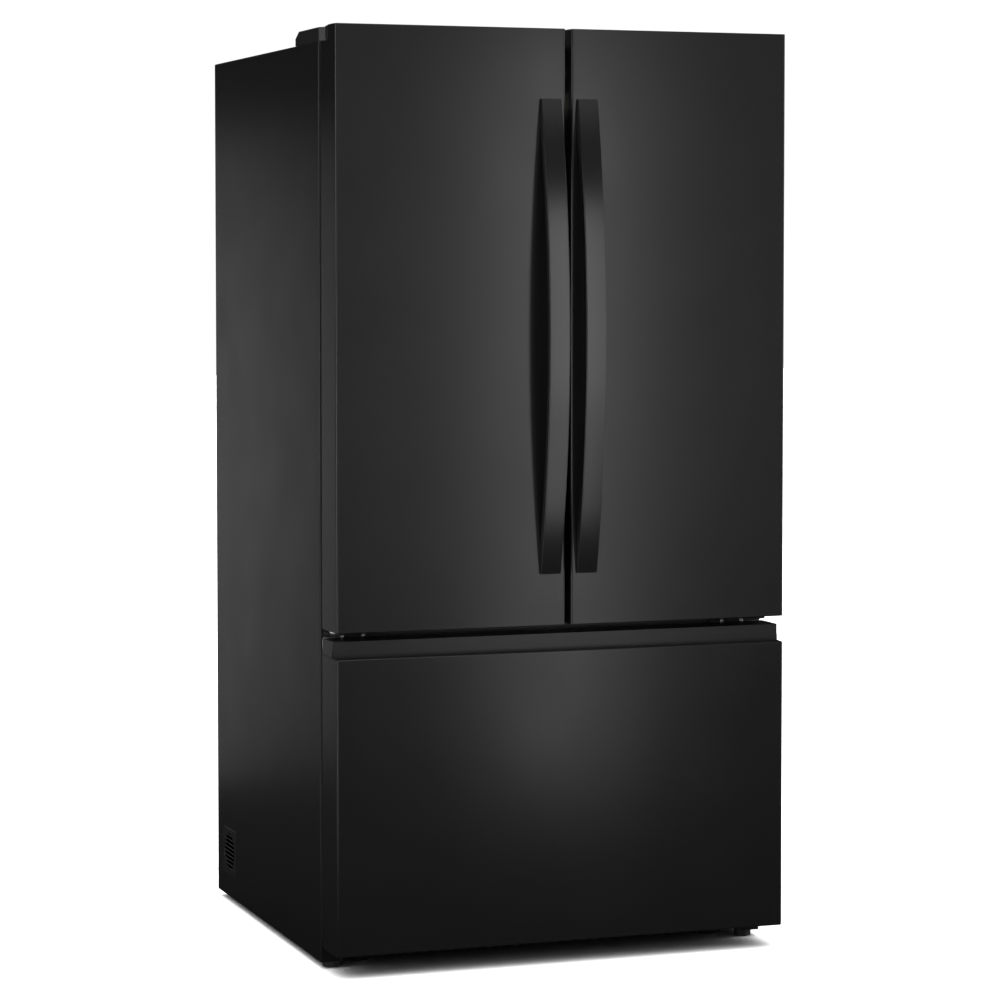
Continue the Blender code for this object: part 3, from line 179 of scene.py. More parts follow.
# ---- Cabinet wrapper ----
# One folded sheet of 1.5 mm steel makes the top and both sides, with a return along the front.
# It is sprayed with black enamel, so its folds are round and its faces have a faint orange peel.
def new_finish(name, colour, roughness, metallic=0.0, others=None):
    """A material with its colour, roughness and other sockets that are the same all over."""
    made = bpy.data.materials.new(name)
    made.use_nodes = True
    sockets = {"Base Color": linear(colour), "Roughness": roughness, "Metallic": metallic, **(others or {})}
    for socket, value in sockets.items():
        made.node_tree.nodes["Principled BSDF"].inputs[socket].default_value = value
    return made


def wire(owner, socket, name):
    """Feeds a socket of the material's shader."""
    owner.node_tree.links.new(socket, owner.node_tree.nodes["Principled BSDF"].inputs[name])


def sprayed(finish, low_gloss, high_gloss):
    """Orange peel about 2.5 mm across as relief, and wiped patches a hand wide that shine a little less."""
    peel_scale, patch_scale = 400.0, 7.0
    spot = add_node(finish, "TexCoord").outputs["Object"]
    peel = add_node(finish, "TexNoise", {"Vector": spot, "Scale": peel_scale, "Detail": 2.0})
    relief = add_node(finish, "Bump", {"Height": peel.outputs["Fac"], "Strength": 0.30,
                                       "Distance": 0.00003})
    wire(finish, relief.outputs["Normal"], "Normal")
    wiped = add_node(finish, "TexNoise", {"Vector": spot, "Scale": patch_scale, "Detail": 5.0})
    gloss = add_node(finish, "MapRange", {"Value": wiped.outputs["Fac"], "From Min": 0.3, "From Max": 0.7,
                                          "To Min": low_gloss, "To Max": high_gloss})
    wire(finish, gloss.outputs["Result"], "Roughness")
    return finish


# Sprayed enamel over steel: deep black with a satin shine. The cabinet's coat is flatter than the doors'.
enamel = sprayed(new_finish("black_enamel_on_steel_doors", "0f0f10", 0.25), 0.235, 0.265)
cabinet_enamel = sprayed(new_finish("black_enamel_on_steel_cabinet", "0d0d0e", 0.33), 0.31, 0.345)


def select_only(*objs):
    """Selects these objects and makes the first of them active."""
    bpy.ops.object.select_all(action="DESELECT")
    for obj in objs:
        obj.select_set(True)
    bpy.context.view_layer.objects.active = objs[0]


def block(name, low, high):
    """A cube between two corners, with its place in its mesh."""
    low, high = Vector(low), Vector(high)
    bpy.ops.object.select_all(action="DESELECT")
    bpy.ops.mesh.primitive_cube_add(size=1.0, location=(low + high) / 2)
    made = bpy.context.object
    made.name = name
    made.scale = high - low
    bpy.ops.object.transform_apply(location=True, rotation=True, scale=True)
    return made


def edit(obj, kind, chosen, operator, **settings):
    """Runs an edit-mode operator on the faces or edges that chosen(points) takes."""
    select_only(obj)
    bpy.ops.object.mode_set(mode="EDIT")
    bpy.ops.mesh.select_mode(type=kind)
    bpy.ops.mesh.select_all(action="DESELECT")
    bpy.ops.object.mode_set(mode="OBJECT")
    mesh = obj.data
    for item in {"FACE": mesh.polygons, "EDGE": mesh.edges}[kind]:
        item.select = chosen([mesh.vertices[i].co for i in item.vertices])
    bpy.ops.object.mode_set(mode="EDIT")
    operator(**settings)
    bpy.ops.object.mode_set(mode="OBJECT")


def flat_at(axis, place):
    """A test for faces or edges that lie in the plane where one coordinate has that value."""
    return lambda points: all(abs(p[axis] - place) < 2e-5 for p in points)


def modify(obj, kind, **settings):
    """Adds a modifier and applies it."""
    select_only(obj)
    made = obj.modifiers.new(kind.lower(), kind)
    for name, value in settings.items():
        setattr(made, name, value)
    bpy.ops.object.modifier_apply(modifier=made.name)


def combine(obj, other, operation="DIFFERENCE"):
    """Cuts one piece with another, or welds them, and removes the other."""
    modify(obj, "BOOLEAN", operation=operation, object=other, solver="EXACT")
    bpy.data.objects.remove(other)


def soften(obj, width, segments=3, angle=30):
    """Rounds every edge sharper than the angle, and shades the faces smooth between sharp edges."""
    if width:
        modify(obj, "TRIANGULATE", min_vertices=5)
        modify(obj, "BEVEL", width=width, segments=segments, limit_method="ANGLE",
               angle_limit=math.radians(angle), miter_outer="MITER_ARC", use_clamp_overlap=False)
    select_only(obj)
    bpy.ops.object.shade_smooth_by_angle(angle=math.radians(40))
    modify(obj, "WEIGHTED_NORMAL", keep_sharp=True)


def put(obj, body, slot, material, *nodes):
    """Gives a finished piece its material and its body, and hides the nodes it stands for. The slot is not
    used.
    """
    obj.data.materials.clear()
    obj.data.materials.append(material)
    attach(obj, body)
    if nodes:
        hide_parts(*nodes)
    return obj


shell_low, shell_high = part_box("cabinet_shell")
sheet, flange, fold = 0.0015, 0.040, 0.0025
wrapper = block("cabinet_wrapper", shell_low, shell_high)


def folded(edge):
    """The front edges apart from the lowest, and the two long edges of the top."""
    ahead = flat_at(1, shell_low.y)(edge) and not flat_at(2, shell_low.z)(edge)
    along_top = flat_at(2, shell_high.z)(edge) and abs(edge[0].x - edge[1].x) < 1e-5
    return ahead or along_top


edit(wrapper, "EDGE", folded, bpy.ops.mesh.bevel, offset=fold, segments=4, affect="EDGES")
edit(wrapper, "FACE", lambda f: flat_at(1, shell_high.y)(f) or flat_at(2, shell_low.z)(f),
     bpy.ops.mesh.delete, type="FACE")
modify(wrapper, "SOLIDIFY", thickness=sheet, offset=-1.0, use_even_offset=True)
combine(wrapper, block("mouth", (shell_low.x + flange, shell_low.y - 0.01, shell_low.z - 0.01),
                       (shell_high.x - flange, shell_low.y + 0.01, shell_high.z - flange)))
vent_low, vent_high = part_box("side_vent_grille")
vent_lap, through = Vector((0.0, 0.003, 0.003)), Vector((0.01, 0.0, 0.0))
combine(wrapper, block("vent_hole", vent_low + vent_lap - through, vent_high - vent_lap + through))
soften(wrapper, 0.0004, 1)
put(wrapper, "cabinet", "black_painted_steel", cabinet_enamel, "cabinet_shell")


# ---- Back panel and machine cover ----
# A flat galvanised sheet closes the foam, stiffened by pressed beads. Under it a black sheet with
# air slots covers the machine space. Both are held by rows of hexagon-headed screws.

# Hot-dip galvanised sheet: dull zinc crystals about 12 mm across, each with its own tone.
galvanised = new_finish("galvanised_sheet", "8d9092", 0.42, 1.0)
spot = add_node(galvanised, "TexCoord").outputs["Object"]
spangle = add_node(galvanised, "TexVoronoi", {"Vector": spot, "Scale": 85.0})
tone = add_node(galvanised, "MapRange", {"Value": spangle.outputs["Color"], "To Min": 0.34,
                                         "To Max": 0.52})
wire(galvanised, tone.outputs["Result"], "Roughness")
shades = add_node(galvanised, "MixRGB", {"Fac": spangle.outputs["Color"], "Color1": linear("7f8285"),
                                         "Color2": linear("a0a3a5")})
wire(galvanised, shades.outputs[0], "Base Color")


def grained(finish, scale, strength, depth, detail=2.0):
    """A mould's or a coat's even grain as relief: so many grains to the metre, and a depth in metres."""
    spot = add_node(finish, "TexCoord").outputs["Object"]
    grain = add_node(finish, "TexNoise", {"Vector": spot, "Scale": scale, "Detail": detail})
    relief = add_node(finish, "Bump", {"Height": grain.outputs["Fac"], "Strength": strength,
                                       "Distance": depth})
    wire(finish, relief.outputs["Normal"], "Normal")
    return finish


# Rolled sheet with a thin coat of flat black powder, which shows as a fine grain under 1 mm.
black_coat = grained(new_finish("flat_black_powder_coat", "1b1b1c", 0.62), 1300.0, 0.5, 0.00008)

# Zinc plated steel: silver grey with the faint cloudiness of the bath.
zinc = new_finish("zinc_plated_steel", "c3c5c6", 0.30, 1.0)
spot = add_node(zinc, "TexCoord").outputs["Object"]
cloud = add_node(zinc, "TexNoise", {"Vector": spot, "Scale": 60.0, "Detail": 4.0})
bath = add_node(zinc, "MapRange", {"Value": cloud.outputs["Fac"], "To Min": 0.22, "To Max": 0.42})
wire(zinc, bath.outputs["Result"], "Roughness")


def rod(name, sides, radius, length, centre, turn=(0.0, 0.0, 0.0)):
    """A cylinder or prism, upright unless it is turned, with its place in its mesh."""
    bpy.ops.object.select_all(action="DESELECT")
    bpy.ops.mesh.primitive_cylinder_add(vertices=sides, radius=radius, depth=length, location=centre,
                                        rotation=turn)
    made = bpy.context.object
    made.name = name
    bpy.ops.object.transform_apply(location=True, rotation=True, scale=True)
    return made


def disc_at(level, centre, radius):
    """A test for faces at one height that lie inside a circle."""
    def inside(points):
        reach = max((Vector(p[:2]) - Vector(centre[:2])).length for p in points)
        return flat_at(2, level)(points) and reach < radius
    return inside


def join(name, pieces):
    """Makes one object of several."""
    select_only(*pieces)
    bpy.ops.object.join()
    made = bpy.context.object
    made.name = name
    return made


def repeat(name, first, places, turn=(0.0, 0.0, 0.0)):
    """One object from a copy of the first at every place. The first is removed."""
    copies = []
    for where in places:
        copy = first.copy()
        copy.data = first.data.copy()
        copy.rotation_euler = turn
        copy.location = where
        scene.collection.objects.link(copy)
        copies.append(copy)
    bpy.data.objects.remove(first)
    made = join(name, copies)
    bpy.ops.object.transform_apply(location=True, rotation=True, scale=True)
    return made


def screws(name, places, out, radius=0.0042, head=0.0028, sides=6):
    """Screw heads with a washer flange and a drive socket, one object for a row of them."""
    top_level = head * 0.4
    washer = rod("washer", 24, radius * 1.45, head * 0.3, (0, 0, -head * 0.45))
    top = rod("head", sides, radius, head * 0.8, (0, 0, 0))
    edit(top, "FACE", flat_at(2, top_level), bpy.ops.mesh.inset, thickness=radius * 0.45)
    edit(top, "FACE", disc_at(top_level, (0, 0), radius * 0.7), bpy.ops.transform.translate,
         value=(0, 0, -head * 0.35))
    soften(top, head * 0.10, 2)
    soften(washer, head * 0.08, 2)
    return repeat(name, join("screw", (top, washer)), places, Vector(out).to_track_quat("Z", "Y").to_euler())


back_low, back_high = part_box("cabinet_back_panel")
back_panel = block("back_sheet", back_low, back_high)
bead_end, bead_wide, bead_deep, bead_round = 0.11, 0.016, 0.0012, 0.0079
for x in (-0.27, -0.09, 0.09, 0.27):
    groove = block("bead", (x - bead_wide / 2, back_high.y - bead_deep, back_low.z + bead_end),
                   (x + bead_wide / 2, back_high.y + 0.01, back_high.z - bead_end))
    edit(groove, "EDGE", lambda e: abs(e[0].y - e[1].y) > 0.005, bpy.ops.mesh.bevel,
         offset=bead_round, segments=6, affect="EDGES")
    combine(back_panel, groove)
soften(back_panel, 0.0003, 2)
put(back_panel, "cabinet", "galvanised_sheet", galvanised, "cabinet_back_panel")

cover_low, cover_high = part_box("machine_cover")
side_screws, screw_margin = 6, 0.012
screw_step = (back_high.z - back_low.z - 0.06) / (side_screws - 1)
places = [(side * (back_high.x - screw_margin), back_high.y, back_low.z + 0.03 + i * screw_step)
          for side in (-1, 1) for i in range(side_screws)]
for level, across in ((back_high.z - screw_margin, (-0.30, -0.10, 0.10, 0.30)),
                      (cover_high.z - screw_margin, (-0.40, -0.20, 0.0, 0.20, 0.40)),
                      (cover_low.z + screw_margin, (-0.42, -0.14, 0.14, 0.42))):
    places += [(x, back_high.y, level) for x in across]
back_screws = screws("back_screws", places, (0, 1, 0))
put(back_screws, "cabinet", "zinc_steel", zinc)


def copy_node(node, name):
    """A copy of a node's mesh with its points merged, to be given a finer surface."""
    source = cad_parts[node]
    made = bpy.data.objects.new(name, source.data.copy())
    scene.collection.objects.link(made)
    select_only(made)
    bpy.ops.mesh.customdata_custom_splitnormals_clear()
    bpy.ops.object.mode_set(mode="EDIT")
    bpy.ops.mesh.select_all(action="SELECT")
    bpy.ops.mesh.remove_doubles(threshold=0.00002)
    bpy.ops.object.mode_set(mode="OBJECT")
    return made


rear_sheet = copy_node("machine_cover", "rear_cover_sheet")
soften(rear_sheet, 0.0004, 2)
put(rear_sheet, "cabinet", "black_steel", black_coat, "machine_cover")


# ---- Base, feet and rollers ----
# A black coated base plate carries four nylon rollers on steel axles. Two screw-in feet of
# moulded nylon, hexagonal so that a spanner turns them, stand at the front corners.
base = copy_node("base_frame", "base_plate")
soften(base, 0.0004, 1)
put(base, "cabinet", "black_steel", black_coat, "base_frame")

# Dark moulded nylon with a spark-eroded grain under 1 mm, drawn at about 1.5 mm so that it shows.
nylon = grained(new_finish("dark_moulded_nylon", "2b2b2d", 0.48), 650.0, 0.5, 0.0001, 3.0)

foot_top, foot_rim, foot_dish = 0.016, 0.004, 0.002
stud_r, stud_length, stud_sunk = 0.0049, 0.036, 0.0015
thread_rings, thread_step, thread_root = 14, 0.0022, 0.82
# A roller's sides, from the rim in: a sunk web and a raised hub, as inset and inward move.
hub_r, crosswise = 0.0045, (0.0, math.pi / 2, 0.0)
web_steps = ((0.004, 0.0), (0.0012, 0.0035), (0.0075, 0.0), (0.0010, -0.0030))
for side in ("left", "right"):
    foot_low, foot_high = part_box("leveling_foot_" + side)
    centre = (foot_low + foot_high) / 2
    foot_r = (foot_high.x - foot_low.x) / 2
    foot = rod("hexagon_foot_" + side, 6, foot_r, foot_top, (centre.x, centre.y, foot_top / 2))
    edit(foot, "FACE", flat_at(2, foot_top), bpy.ops.mesh.inset, thickness=foot_rim)
    edit(foot, "FACE", disc_at(foot_top, centre, foot_r - foot_rim / 2), bpy.ops.transform.translate,
         value=(0, 0, -foot_dish))
    soften(foot, 0.0014, 3)
    put(foot, "foot_" + side[0], "dark_grey_plastic", nylon, "leveling_foot_" + side)
    stud = rod("foot_stud_" + side, 20, stud_r, stud_length,
               (centre.x, centre.y, foot_top - stud_sunk + stud_length / 2))
    rings = [foot_top + 0.001 + i * thread_step for i in range(thread_rings)]
    for level in rings:
        edit(stud, "EDGE", lambda e: True, bpy.ops.mesh.bisect, plane_co=(centre.x, centre.y, level),
             plane_no=(0, 0, 1))
    for level in rings[::2]:
        edit(stud, "EDGE", flat_at(2, level), bpy.ops.transform.resize,
             value=(thread_root, thread_root, 1.0), center_override=(centre.x, centre.y, level))
    soften(stud, 0.0)
    put(stud, "foot_" + side[0], "zinc_steel", zinc)

    for row, body in (("front", "front_wheel_"), ("rear", "rear_wheel_")):
        wheel_low, wheel_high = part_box(f"{row}_roller_{side}")
        centre = (wheel_low + wheel_high) / 2
        r, width = (wheel_high.z - wheel_low.z) / 2, wheel_high.x - wheel_low.x
        wheel = rod(f"{row}_wheel_{side}", 48, r, width, centre, crosswise)
        for outward in (-1, 1):
            for shrink, sunk in web_steps:
                middle_face = max((p for p in wheel.data.polygons
                                   if abs(p.normal.x) > 0.99 and (p.center.x - centre.x) * outward > 0),
                                  key=lambda p: len(p.vertices))
                at = middle_face.center.x
                inner = lambda f, at=at: flat_at(0, at)(f) and len(f) > 8
                edit(wheel, "FACE", inner, bpy.ops.mesh.inset, thickness=shrink)
                edit(wheel, "FACE", inner, bpy.ops.transform.translate, value=(-sunk * outward, 0, 0))
        combine(wheel, rod("axle_hole", 32, hub_r, width * 2, centre, crosswise))
        soften(wheel, 0.0007, 2, angle=50)
        put(wheel, body + side[0], "dark_grey_plastic", nylon, f"{row}_roller_{side}")


# ---- Side vent ----
# A clipped-in ABS moulding low on the left side: a plate with one cut corner and a round field
# of tilted louvres, which lets air into the machine space.

# Black ABS from a fine-textured mould, the grain drawn at about 1 mm.
abs_black = grained(new_finish("black_textured_abs", "141415", 0.42), 950.0, 0.4, 0.00006)

vent_centre = (vent_low + vent_high) / 2
vent_r, vent_proud, vent_corner = 0.039, 0.0014, 0.010
louvres, louvre_half, louvre_deep, louvre_tilt = 9, 0.0009, 0.0065, math.radians(-35)
vent_low.x -= vent_proud
plate = block("vent_plate", vent_low, vent_high)
edit(plate, "EDGE", lambda e: flat_at(1, vent_high.y)(e) and flat_at(2, vent_high.z)(e),
     bpy.ops.mesh.bevel, offset=vent_corner, segments=1, affect="EDGES")
combine(plate, rod("field", 64, vent_r, 0.02, vent_centre, crosswise))
soften(plate, 0.0009, 3)
put(plate, "cabinet", "black_plastic", abs_black, "side_vent_grille")
slats = []
for i in range(louvres):
    z = vent_centre.z + (i - (louvres - 1) / 2) * 2 * vent_r / louvres
    half = math.sqrt(vent_r ** 2 - (z - vent_centre.z) ** 2) + 0.0008
    outer_x = vent_low.x + 0.0001
    slat = block("slat", (outer_x, vent_centre.y - half, z - louvre_half),
                 (vent_low.x + louvre_deep, vent_centre.y + half, z + louvre_half))
    edit(slat, "FACE", lambda f: True, bpy.ops.transform.rotate, value=louvre_tilt, orient_axis="Y",
         center_override=(outer_x, 0, z))
    soften(slat, 0.0005, 2)
    slats.append(slat)
put(join("vent_louvres", slats), "cabinet", "black_plastic", abs_black)


# ---- Hinges at the top, under their covers ----
# A zinc plated plate is screwed to the cabinet top and its pin stands in the door. A moulded cap
# clips over it, chamfered at the rear and narrowed to a round nose in front.
for side in ("left", "right"):
    sign = -1 if side == "left" else 1
    plate = copy_node("top_hinge_" + side, "upper_hinge_plate_" + side)
    soften(plate, 0.0005, 2)
    put(plate, "cabinet", "zinc_steel", zinc, "top_hinge_" + side)
    cap_low, cap_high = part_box("hinge_cover_" + side)
    cap = copy_node("hinge_cover_" + side, "upper_hinge_cap_" + side)
    soften(cap, 0.0011, 4)
    put(cap, "cabinet", "black_plastic", abs_black, "hinge_cover_" + side)
    screw_at = ((cap_low.x + cap_high.x) / 2 - sign * 0.012, cap_high.y - 0.075, cap_high.z - 0.0006)
    screw = screws("hinge_cap_screw_" + side, [screw_at], (0, 0, 1), radius=0.0036, head=0.0022, sides=24)
    put(screw, "cabinet", "black_steel", black_coat)


# ---- Hinges between the doors and the drawer ----
# A folded and black coated bracket is screwed to the centre rail on each side. Its arm carries the
# lower pin of the door, which turns on a white acetal bush.

# The acetal is moulded smooth, so it shines softly under a grain of about 1 mm.
acetal = grained(new_finish("white_acetal", "e8e9e6", 0.38), 900.0, 0.25, 0.00005)

# The doors' upright axis, from the door's outer side and from its front.
pin_inset, pin_depth = 0.022, 0.072
bush_r, bush_tall, bush_sunk, bush_rim, bush_dish = 0.0128, 0.0058, 0.0007, 0.003, 0.0012
door_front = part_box("left_door_skin")[0].y
for side in ("left", "right"):
    sign = -1 if side == "left" else 1
    low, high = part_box("center_hinge_" + side)
    bracket = copy_node("center_hinge_" + side, "middle_hinge_bracket_" + side)
    soften(bracket, 0.0004, 2)
    put(bracket, "cabinet", "black_steel", black_coat, "center_hinge_" + side)
    pin_x, pin_y = sign * (shell_high.x - pin_inset), door_front + pin_depth
    door_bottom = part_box(side + "_door_skin")[0].z
    bush_low = door_bottom - bush_sunk - bush_tall
    bush = rod("door_bush_" + side, 40, bush_r, bush_tall, (pin_x, pin_y, bush_low + bush_tall / 2))
    edit(bush, "FACE", flat_at(2, bush_low), bpy.ops.mesh.inset, thickness=bush_rim)
    edit(bush, "FACE", disc_at(bush_low, (pin_x, pin_y), bush_r - 0.002), bpy.ops.transform.translate,
         value=(0, 0, bush_dish))
    soften(bush, 0.0006, 2)
    put(bush, "cabinet", "zinc_steel", acetal)
    # Two screws under the arm and one above it, inwards from the pin.
    places = [(sign * (abs(pin_x) - inwards), high.y - 0.0031, door_bottom - 0.005 + rise)
              for inwards, rise in ((0.020, -0.0115), (0.062, -0.0115), (0.041, 0.009))]
    bolts = screws("hinge_screws_" + side, places, (0, -1, 0), radius=0.0045, head=0.003)
    put(bolts, "cabinet", "zinc_steel", zinc)


# ---- Upper doors ----
# Each skin is one sheet of steel folded back on both sides, sprayed in the black enamel, with a
# moulded cap let into its top and bottom. The top is cut away at the hinged side for the hinge.
def skin_pan(name, low, high, sheet, side_fold, end_fold):
    """Front sheet with four folded sides, open at the rear."""
    made = block(name, low, high)
    edit(made, "EDGE", lambda e: flat_at(1, low.y)(e) and abs(e[0].z - e[1].z) > 0.01,
         bpy.ops.mesh.bevel, offset=side_fold, segments=8, affect="EDGES")
    edit(made, "FACE", flat_at(1, high.y), bpy.ops.mesh.delete, type="FACE")

    def end_line(edge):
        """An edge of the front sheet along its top or its bottom, with the arcs at its corners."""
        level = flat_at(2, low.z)(edge) or flat_at(2, high.z)(edge)
        in_front = all(p.y < low.y + side_fold + 1e-5 for p in edge)
        return level and in_front and abs(edge[0].x - edge[1].x) > 1e-6

    edit(made, "EDGE", end_line, bpy.ops.mesh.bevel, offset=end_fold, segments=4, affect="EDGES")
    modify(made, "SOLIDIFY", thickness=sheet, offset=-1.0, use_even_offset=True)
    return made


door_sheet, door_fold, door_end_fold, rim_inset = 0.001, 0.004, 0.0012, 0.0035
notch_width, notch_from, notch_sunk = 0.046, 0.048, 0.001
cap_gap, cap_high_up, cap_low_down, pin_hole_r = 0.0004, 0.0003, 0.0012, 0.0072
for side in ("left", "right"):
    sign = -1 if side == "left" else 1
    low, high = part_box(side + "_door_skin")
    skin = skin_pan(side + "_door_outer_skin", low, high, door_sheet, door_fold, door_end_fold)
    notch_x = sorted((sign * (shell_high.x - notch_width), sign * (shell_high.x + 0.01)))
    combine(skin, block("hollow", (notch_x[0], low.y + notch_from, shell_high.z - notch_sunk),
                        (notch_x[1], high.y + 0.01, high.z + 0.01)))
    for level in (high.z, low.z):
        combine(skin, block("opening", (low.x + rim_inset, low.y + rim_inset, level - 0.005),
                            (high.x - rim_inset, high.y + 0.01, level + 0.005)))
    soften(skin, 0.0)
    put(skin, side + "_door", "black_painted_steel", enamel, side + "_door_skin")
    edge = rim_inset + cap_gap
    for name, level, into in (("top", high.z, -1), ("bottom", low.z, 1)):
        z = sorted((level + into * cap_high_up, level + into * cap_low_down))
        cap = block(f"{side}_door_{name}_cap", (low.x + edge, low.y + edge, z[0]),
                    (high.x - edge, high.y + 0.0015, z[1]))
        if name == "top":
            combine(cap, block("hollow", (notch_x[0] - 0.001, low.y + notch_from - 0.001, z[0] - 0.01),
                               (notch_x[1] + 0.001, high.y + 0.01, z[1] + 0.01)))
        else:
            combine(cap, rod("pin_hole", 32, pin_hole_r, 0.01,
                             (sign * (shell_high.x - pin_inset), low.y + pin_depth, level)))
        soften(cap, 0.0002, 2)
        put(cap, side + "_door", "black_plastic", abs_black)


# ---- Handles ----
# Solid bars of cast zinc under black enamel, bowed 55 mm out from the door and drawn down to
# thin ends that lie on it. Two hidden screws hold each end.

# The casting is polished first, so its enamel shines more than the doors', with peel about 2 mm across.
handle_enamel = grained(new_finish("black_enamel_on_zinc_casting", "101011", 0.20), 500.0, 0.2, 0.00002)


def bow(length, reach, steps):
    """Points (out, up) of an arc over an upright chord centred on zero, from the bottom up."""
    radius = (length ** 2 / 4 + reach ** 2) / (2 * reach)
    half = math.asin(length / 2 / radius)
    turns = [half - 2 * half * i / steps for i in range(steps + 1)]
    return [(reach - radius + radius * math.cos(t), -radius * math.sin(t)) for t in turns]


edge_r, end_thick, bar_thick, foot_length = 0.0021, 0.0052, 0.013, 0.056
for side in ("left", "right"):
    low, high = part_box(side + "_handle")
    middle, length, reach = (low.z + high.z) / 2, high.z - low.z, high.y - low.y
    outline = [(0.0, -length / 2)]
    outline += [(end_thick + out, up) for out, up in bow(length, reach - end_thick, 72)]
    outline += [(0.0, length / 2)]
    outline += bow(length - 2 * foot_length, reach - bar_thick, 60)[::-1]
    curve = bpy.data.curves.new(side + "_bow", "CURVE")
    curve.dimensions = "2D"
    curve.fill_mode = "BOTH"
    curve.extrude = (high.x - low.x) / 2 - edge_r
    curve.bevel_depth = edge_r
    curve.bevel_resolution = 4
    curve.offset = -edge_r
    spline = curve.splines.new("POLY")
    spline.points.add(len(outline) - 1)
    for point, (out, up) in zip(spline.points, outline):
        point.co = (out, up, 0.0, 1.0)
    spline.use_cyclic_u = True
    grip = bpy.data.objects.new(side + "_bow_handle", curve)
    scene.collection.objects.link(grip)
    select_only(grip)
    bpy.ops.object.convert(target="MESH")
    grip = bpy.context.object
    bpy.ops.object.mode_set(mode="EDIT")
    bpy.ops.mesh.select_all(action="SELECT")
    bpy.ops.mesh.remove_doubles(threshold=0.00002)
    bpy.ops.mesh.normals_make_consistent(inside=False)
    bpy.ops.object.mode_set(mode="OBJECT")
    grip.rotation_euler = (math.pi / 2, 0.0, -math.pi / 2)
    grip.location = ((low.x + high.x) / 2, high.y, middle)
    bpy.ops.object.transform_apply(location=True, rotation=True, scale=True)
    soften(grip, 0.0)
    put(grip, side + "_door", "black_painted_steel", handle_enamel, side + "_handle")


# ---- Freezer drawer front ----
# The same folded and sprayed steel as the doors. Its top edge is a rounded lip in front of the
# finger pocket, and a full-width strip stands back from it above.
low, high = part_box("drawer_front")
front_pan = skin_pan("drawer_outer_skin", low, high, door_sheet, door_fold, 0.0025)
pocket_side, lip_thick, pocket_tall = 0.0011, 0.0042, 0.012
combine(front_pan, block("mouth", (low.x + pocket_side, low.y + lip_thick, high.z - pocket_tall),
                         (high.x - pocket_side, high.y + 0.01, high.z + 0.01)))
soften(front_pan, 0.0)
put(front_pan, "freezer_drawer", "black_painted_steel", enamel, "drawer_front")
# Moulded in black ABS and sprayed to match the doors, a little flatter than their enamel.
strip_paint = sprayed(new_finish("black_sprayed_abs", "1b1b1c", 0.32), 0.30, 0.335)
strip = copy_node("drawer_handle_rail", "drawer_pull_strip")
soften(strip, 0.0016, 4)
put(strip, "freezer_drawer", "black_plastic", strip_paint, "drawer_handle_rail")


# ---- Centre rail ----
# A folded steel rail in the cabinet's enamel ties both sides together between the doors and the
# drawer. It is screwed to the wrapper's front return.
def dress(node, name, body, slot, material, width=0.0, segments=2, angle=30):
    """A finer copy of a node stands for it, with its edges rounded and its curves smooth."""
    made = copy_node(node, name)
    soften(made, width, segments, angle)
    return put(made, body, slot, material, node)


dress("center_rail", "centre_rail", "cabinet", "black_painted_steel", cabinet_enamel, 0.0006)


# ---- Foam ----
# Polyurethane foam is injected between wrapper and liners and holds them together. Only its cut
# face shows, in the machine space.

# Cut foam is matt and cream, aged in patches. Its cells of under 0.5 mm are drawn at about 2 mm.
foam = new_finish("cut_polyurethane_foam", "d8c593", 0.90)
spot = add_node(foam, "TexCoord").outputs["Object"]
cells = add_node(foam, "TexVoronoi", {"Vector": spot, "Scale": 500.0})
relief = add_node(foam, "Bump", {"Height": cells.outputs["Distance"], "Strength": 0.6,
                                 "Distance": 0.0004})
wire(foam, relief.outputs["Normal"], "Normal")
aged = add_node(foam, "TexNoise", {"Vector": spot, "Scale": 12.0, "Detail": 4.0})
tint = add_node(foam, "MixRGB", {"Fac": aged.outputs["Fac"], "Color1": linear("cdb67e"),
                                 "Color2": linear("e2d3a8")})
wire(foam, tint.outputs[0], "Base Color")
dress("cabinet_insulation", "foam_fill", "cabinet", "foam", foam)


# ---- Fresh-food liner ----
# One white polystyrene sheet drawn over a mould, so its inner corners are round and its rim is a
# flange that tucks behind the wrapper. Moulded ledges on both walls carry the lower shelf and the
# crisper lid.

# Drawn sheet is glossy, with a faint waviness of about 40 mm and a fine skin of about 2 mm.
liner_white = new_finish("thermoformed_white_polystyrene", "e9ebeb", 0.30)
spot = add_node(liner_white, "TexCoord").outputs["Object"]
wave = add_node(liner_white, "TexNoise", {"Vector": spot, "Scale": 25.0, "Detail": 2.0})
skin_grain = add_node(liner_white, "TexNoise", {"Vector": spot, "Scale": 450.0, "Detail": 2.0})
wavy = add_node(liner_white, "Bump", {"Height": wave.outputs["Fac"], "Strength": 0.25,
                                      "Distance": 0.0006})
relief = add_node(liner_white, "Bump", {"Height": skin_grain.outputs["Fac"], "Strength": 0.2,
                                        "Distance": 0.00005, "Normal": wavy.outputs["Normal"]})
wire(liner_white, relief.outputs["Normal"], "Normal")
cleaned = add_node(liner_white, "MapRange", {"Value": wave.outputs["Fac"], "To Min": 0.26,
                                             "To Max": 0.36})
wire(liner_white, cleaned.outputs["Result"], "Roughness")

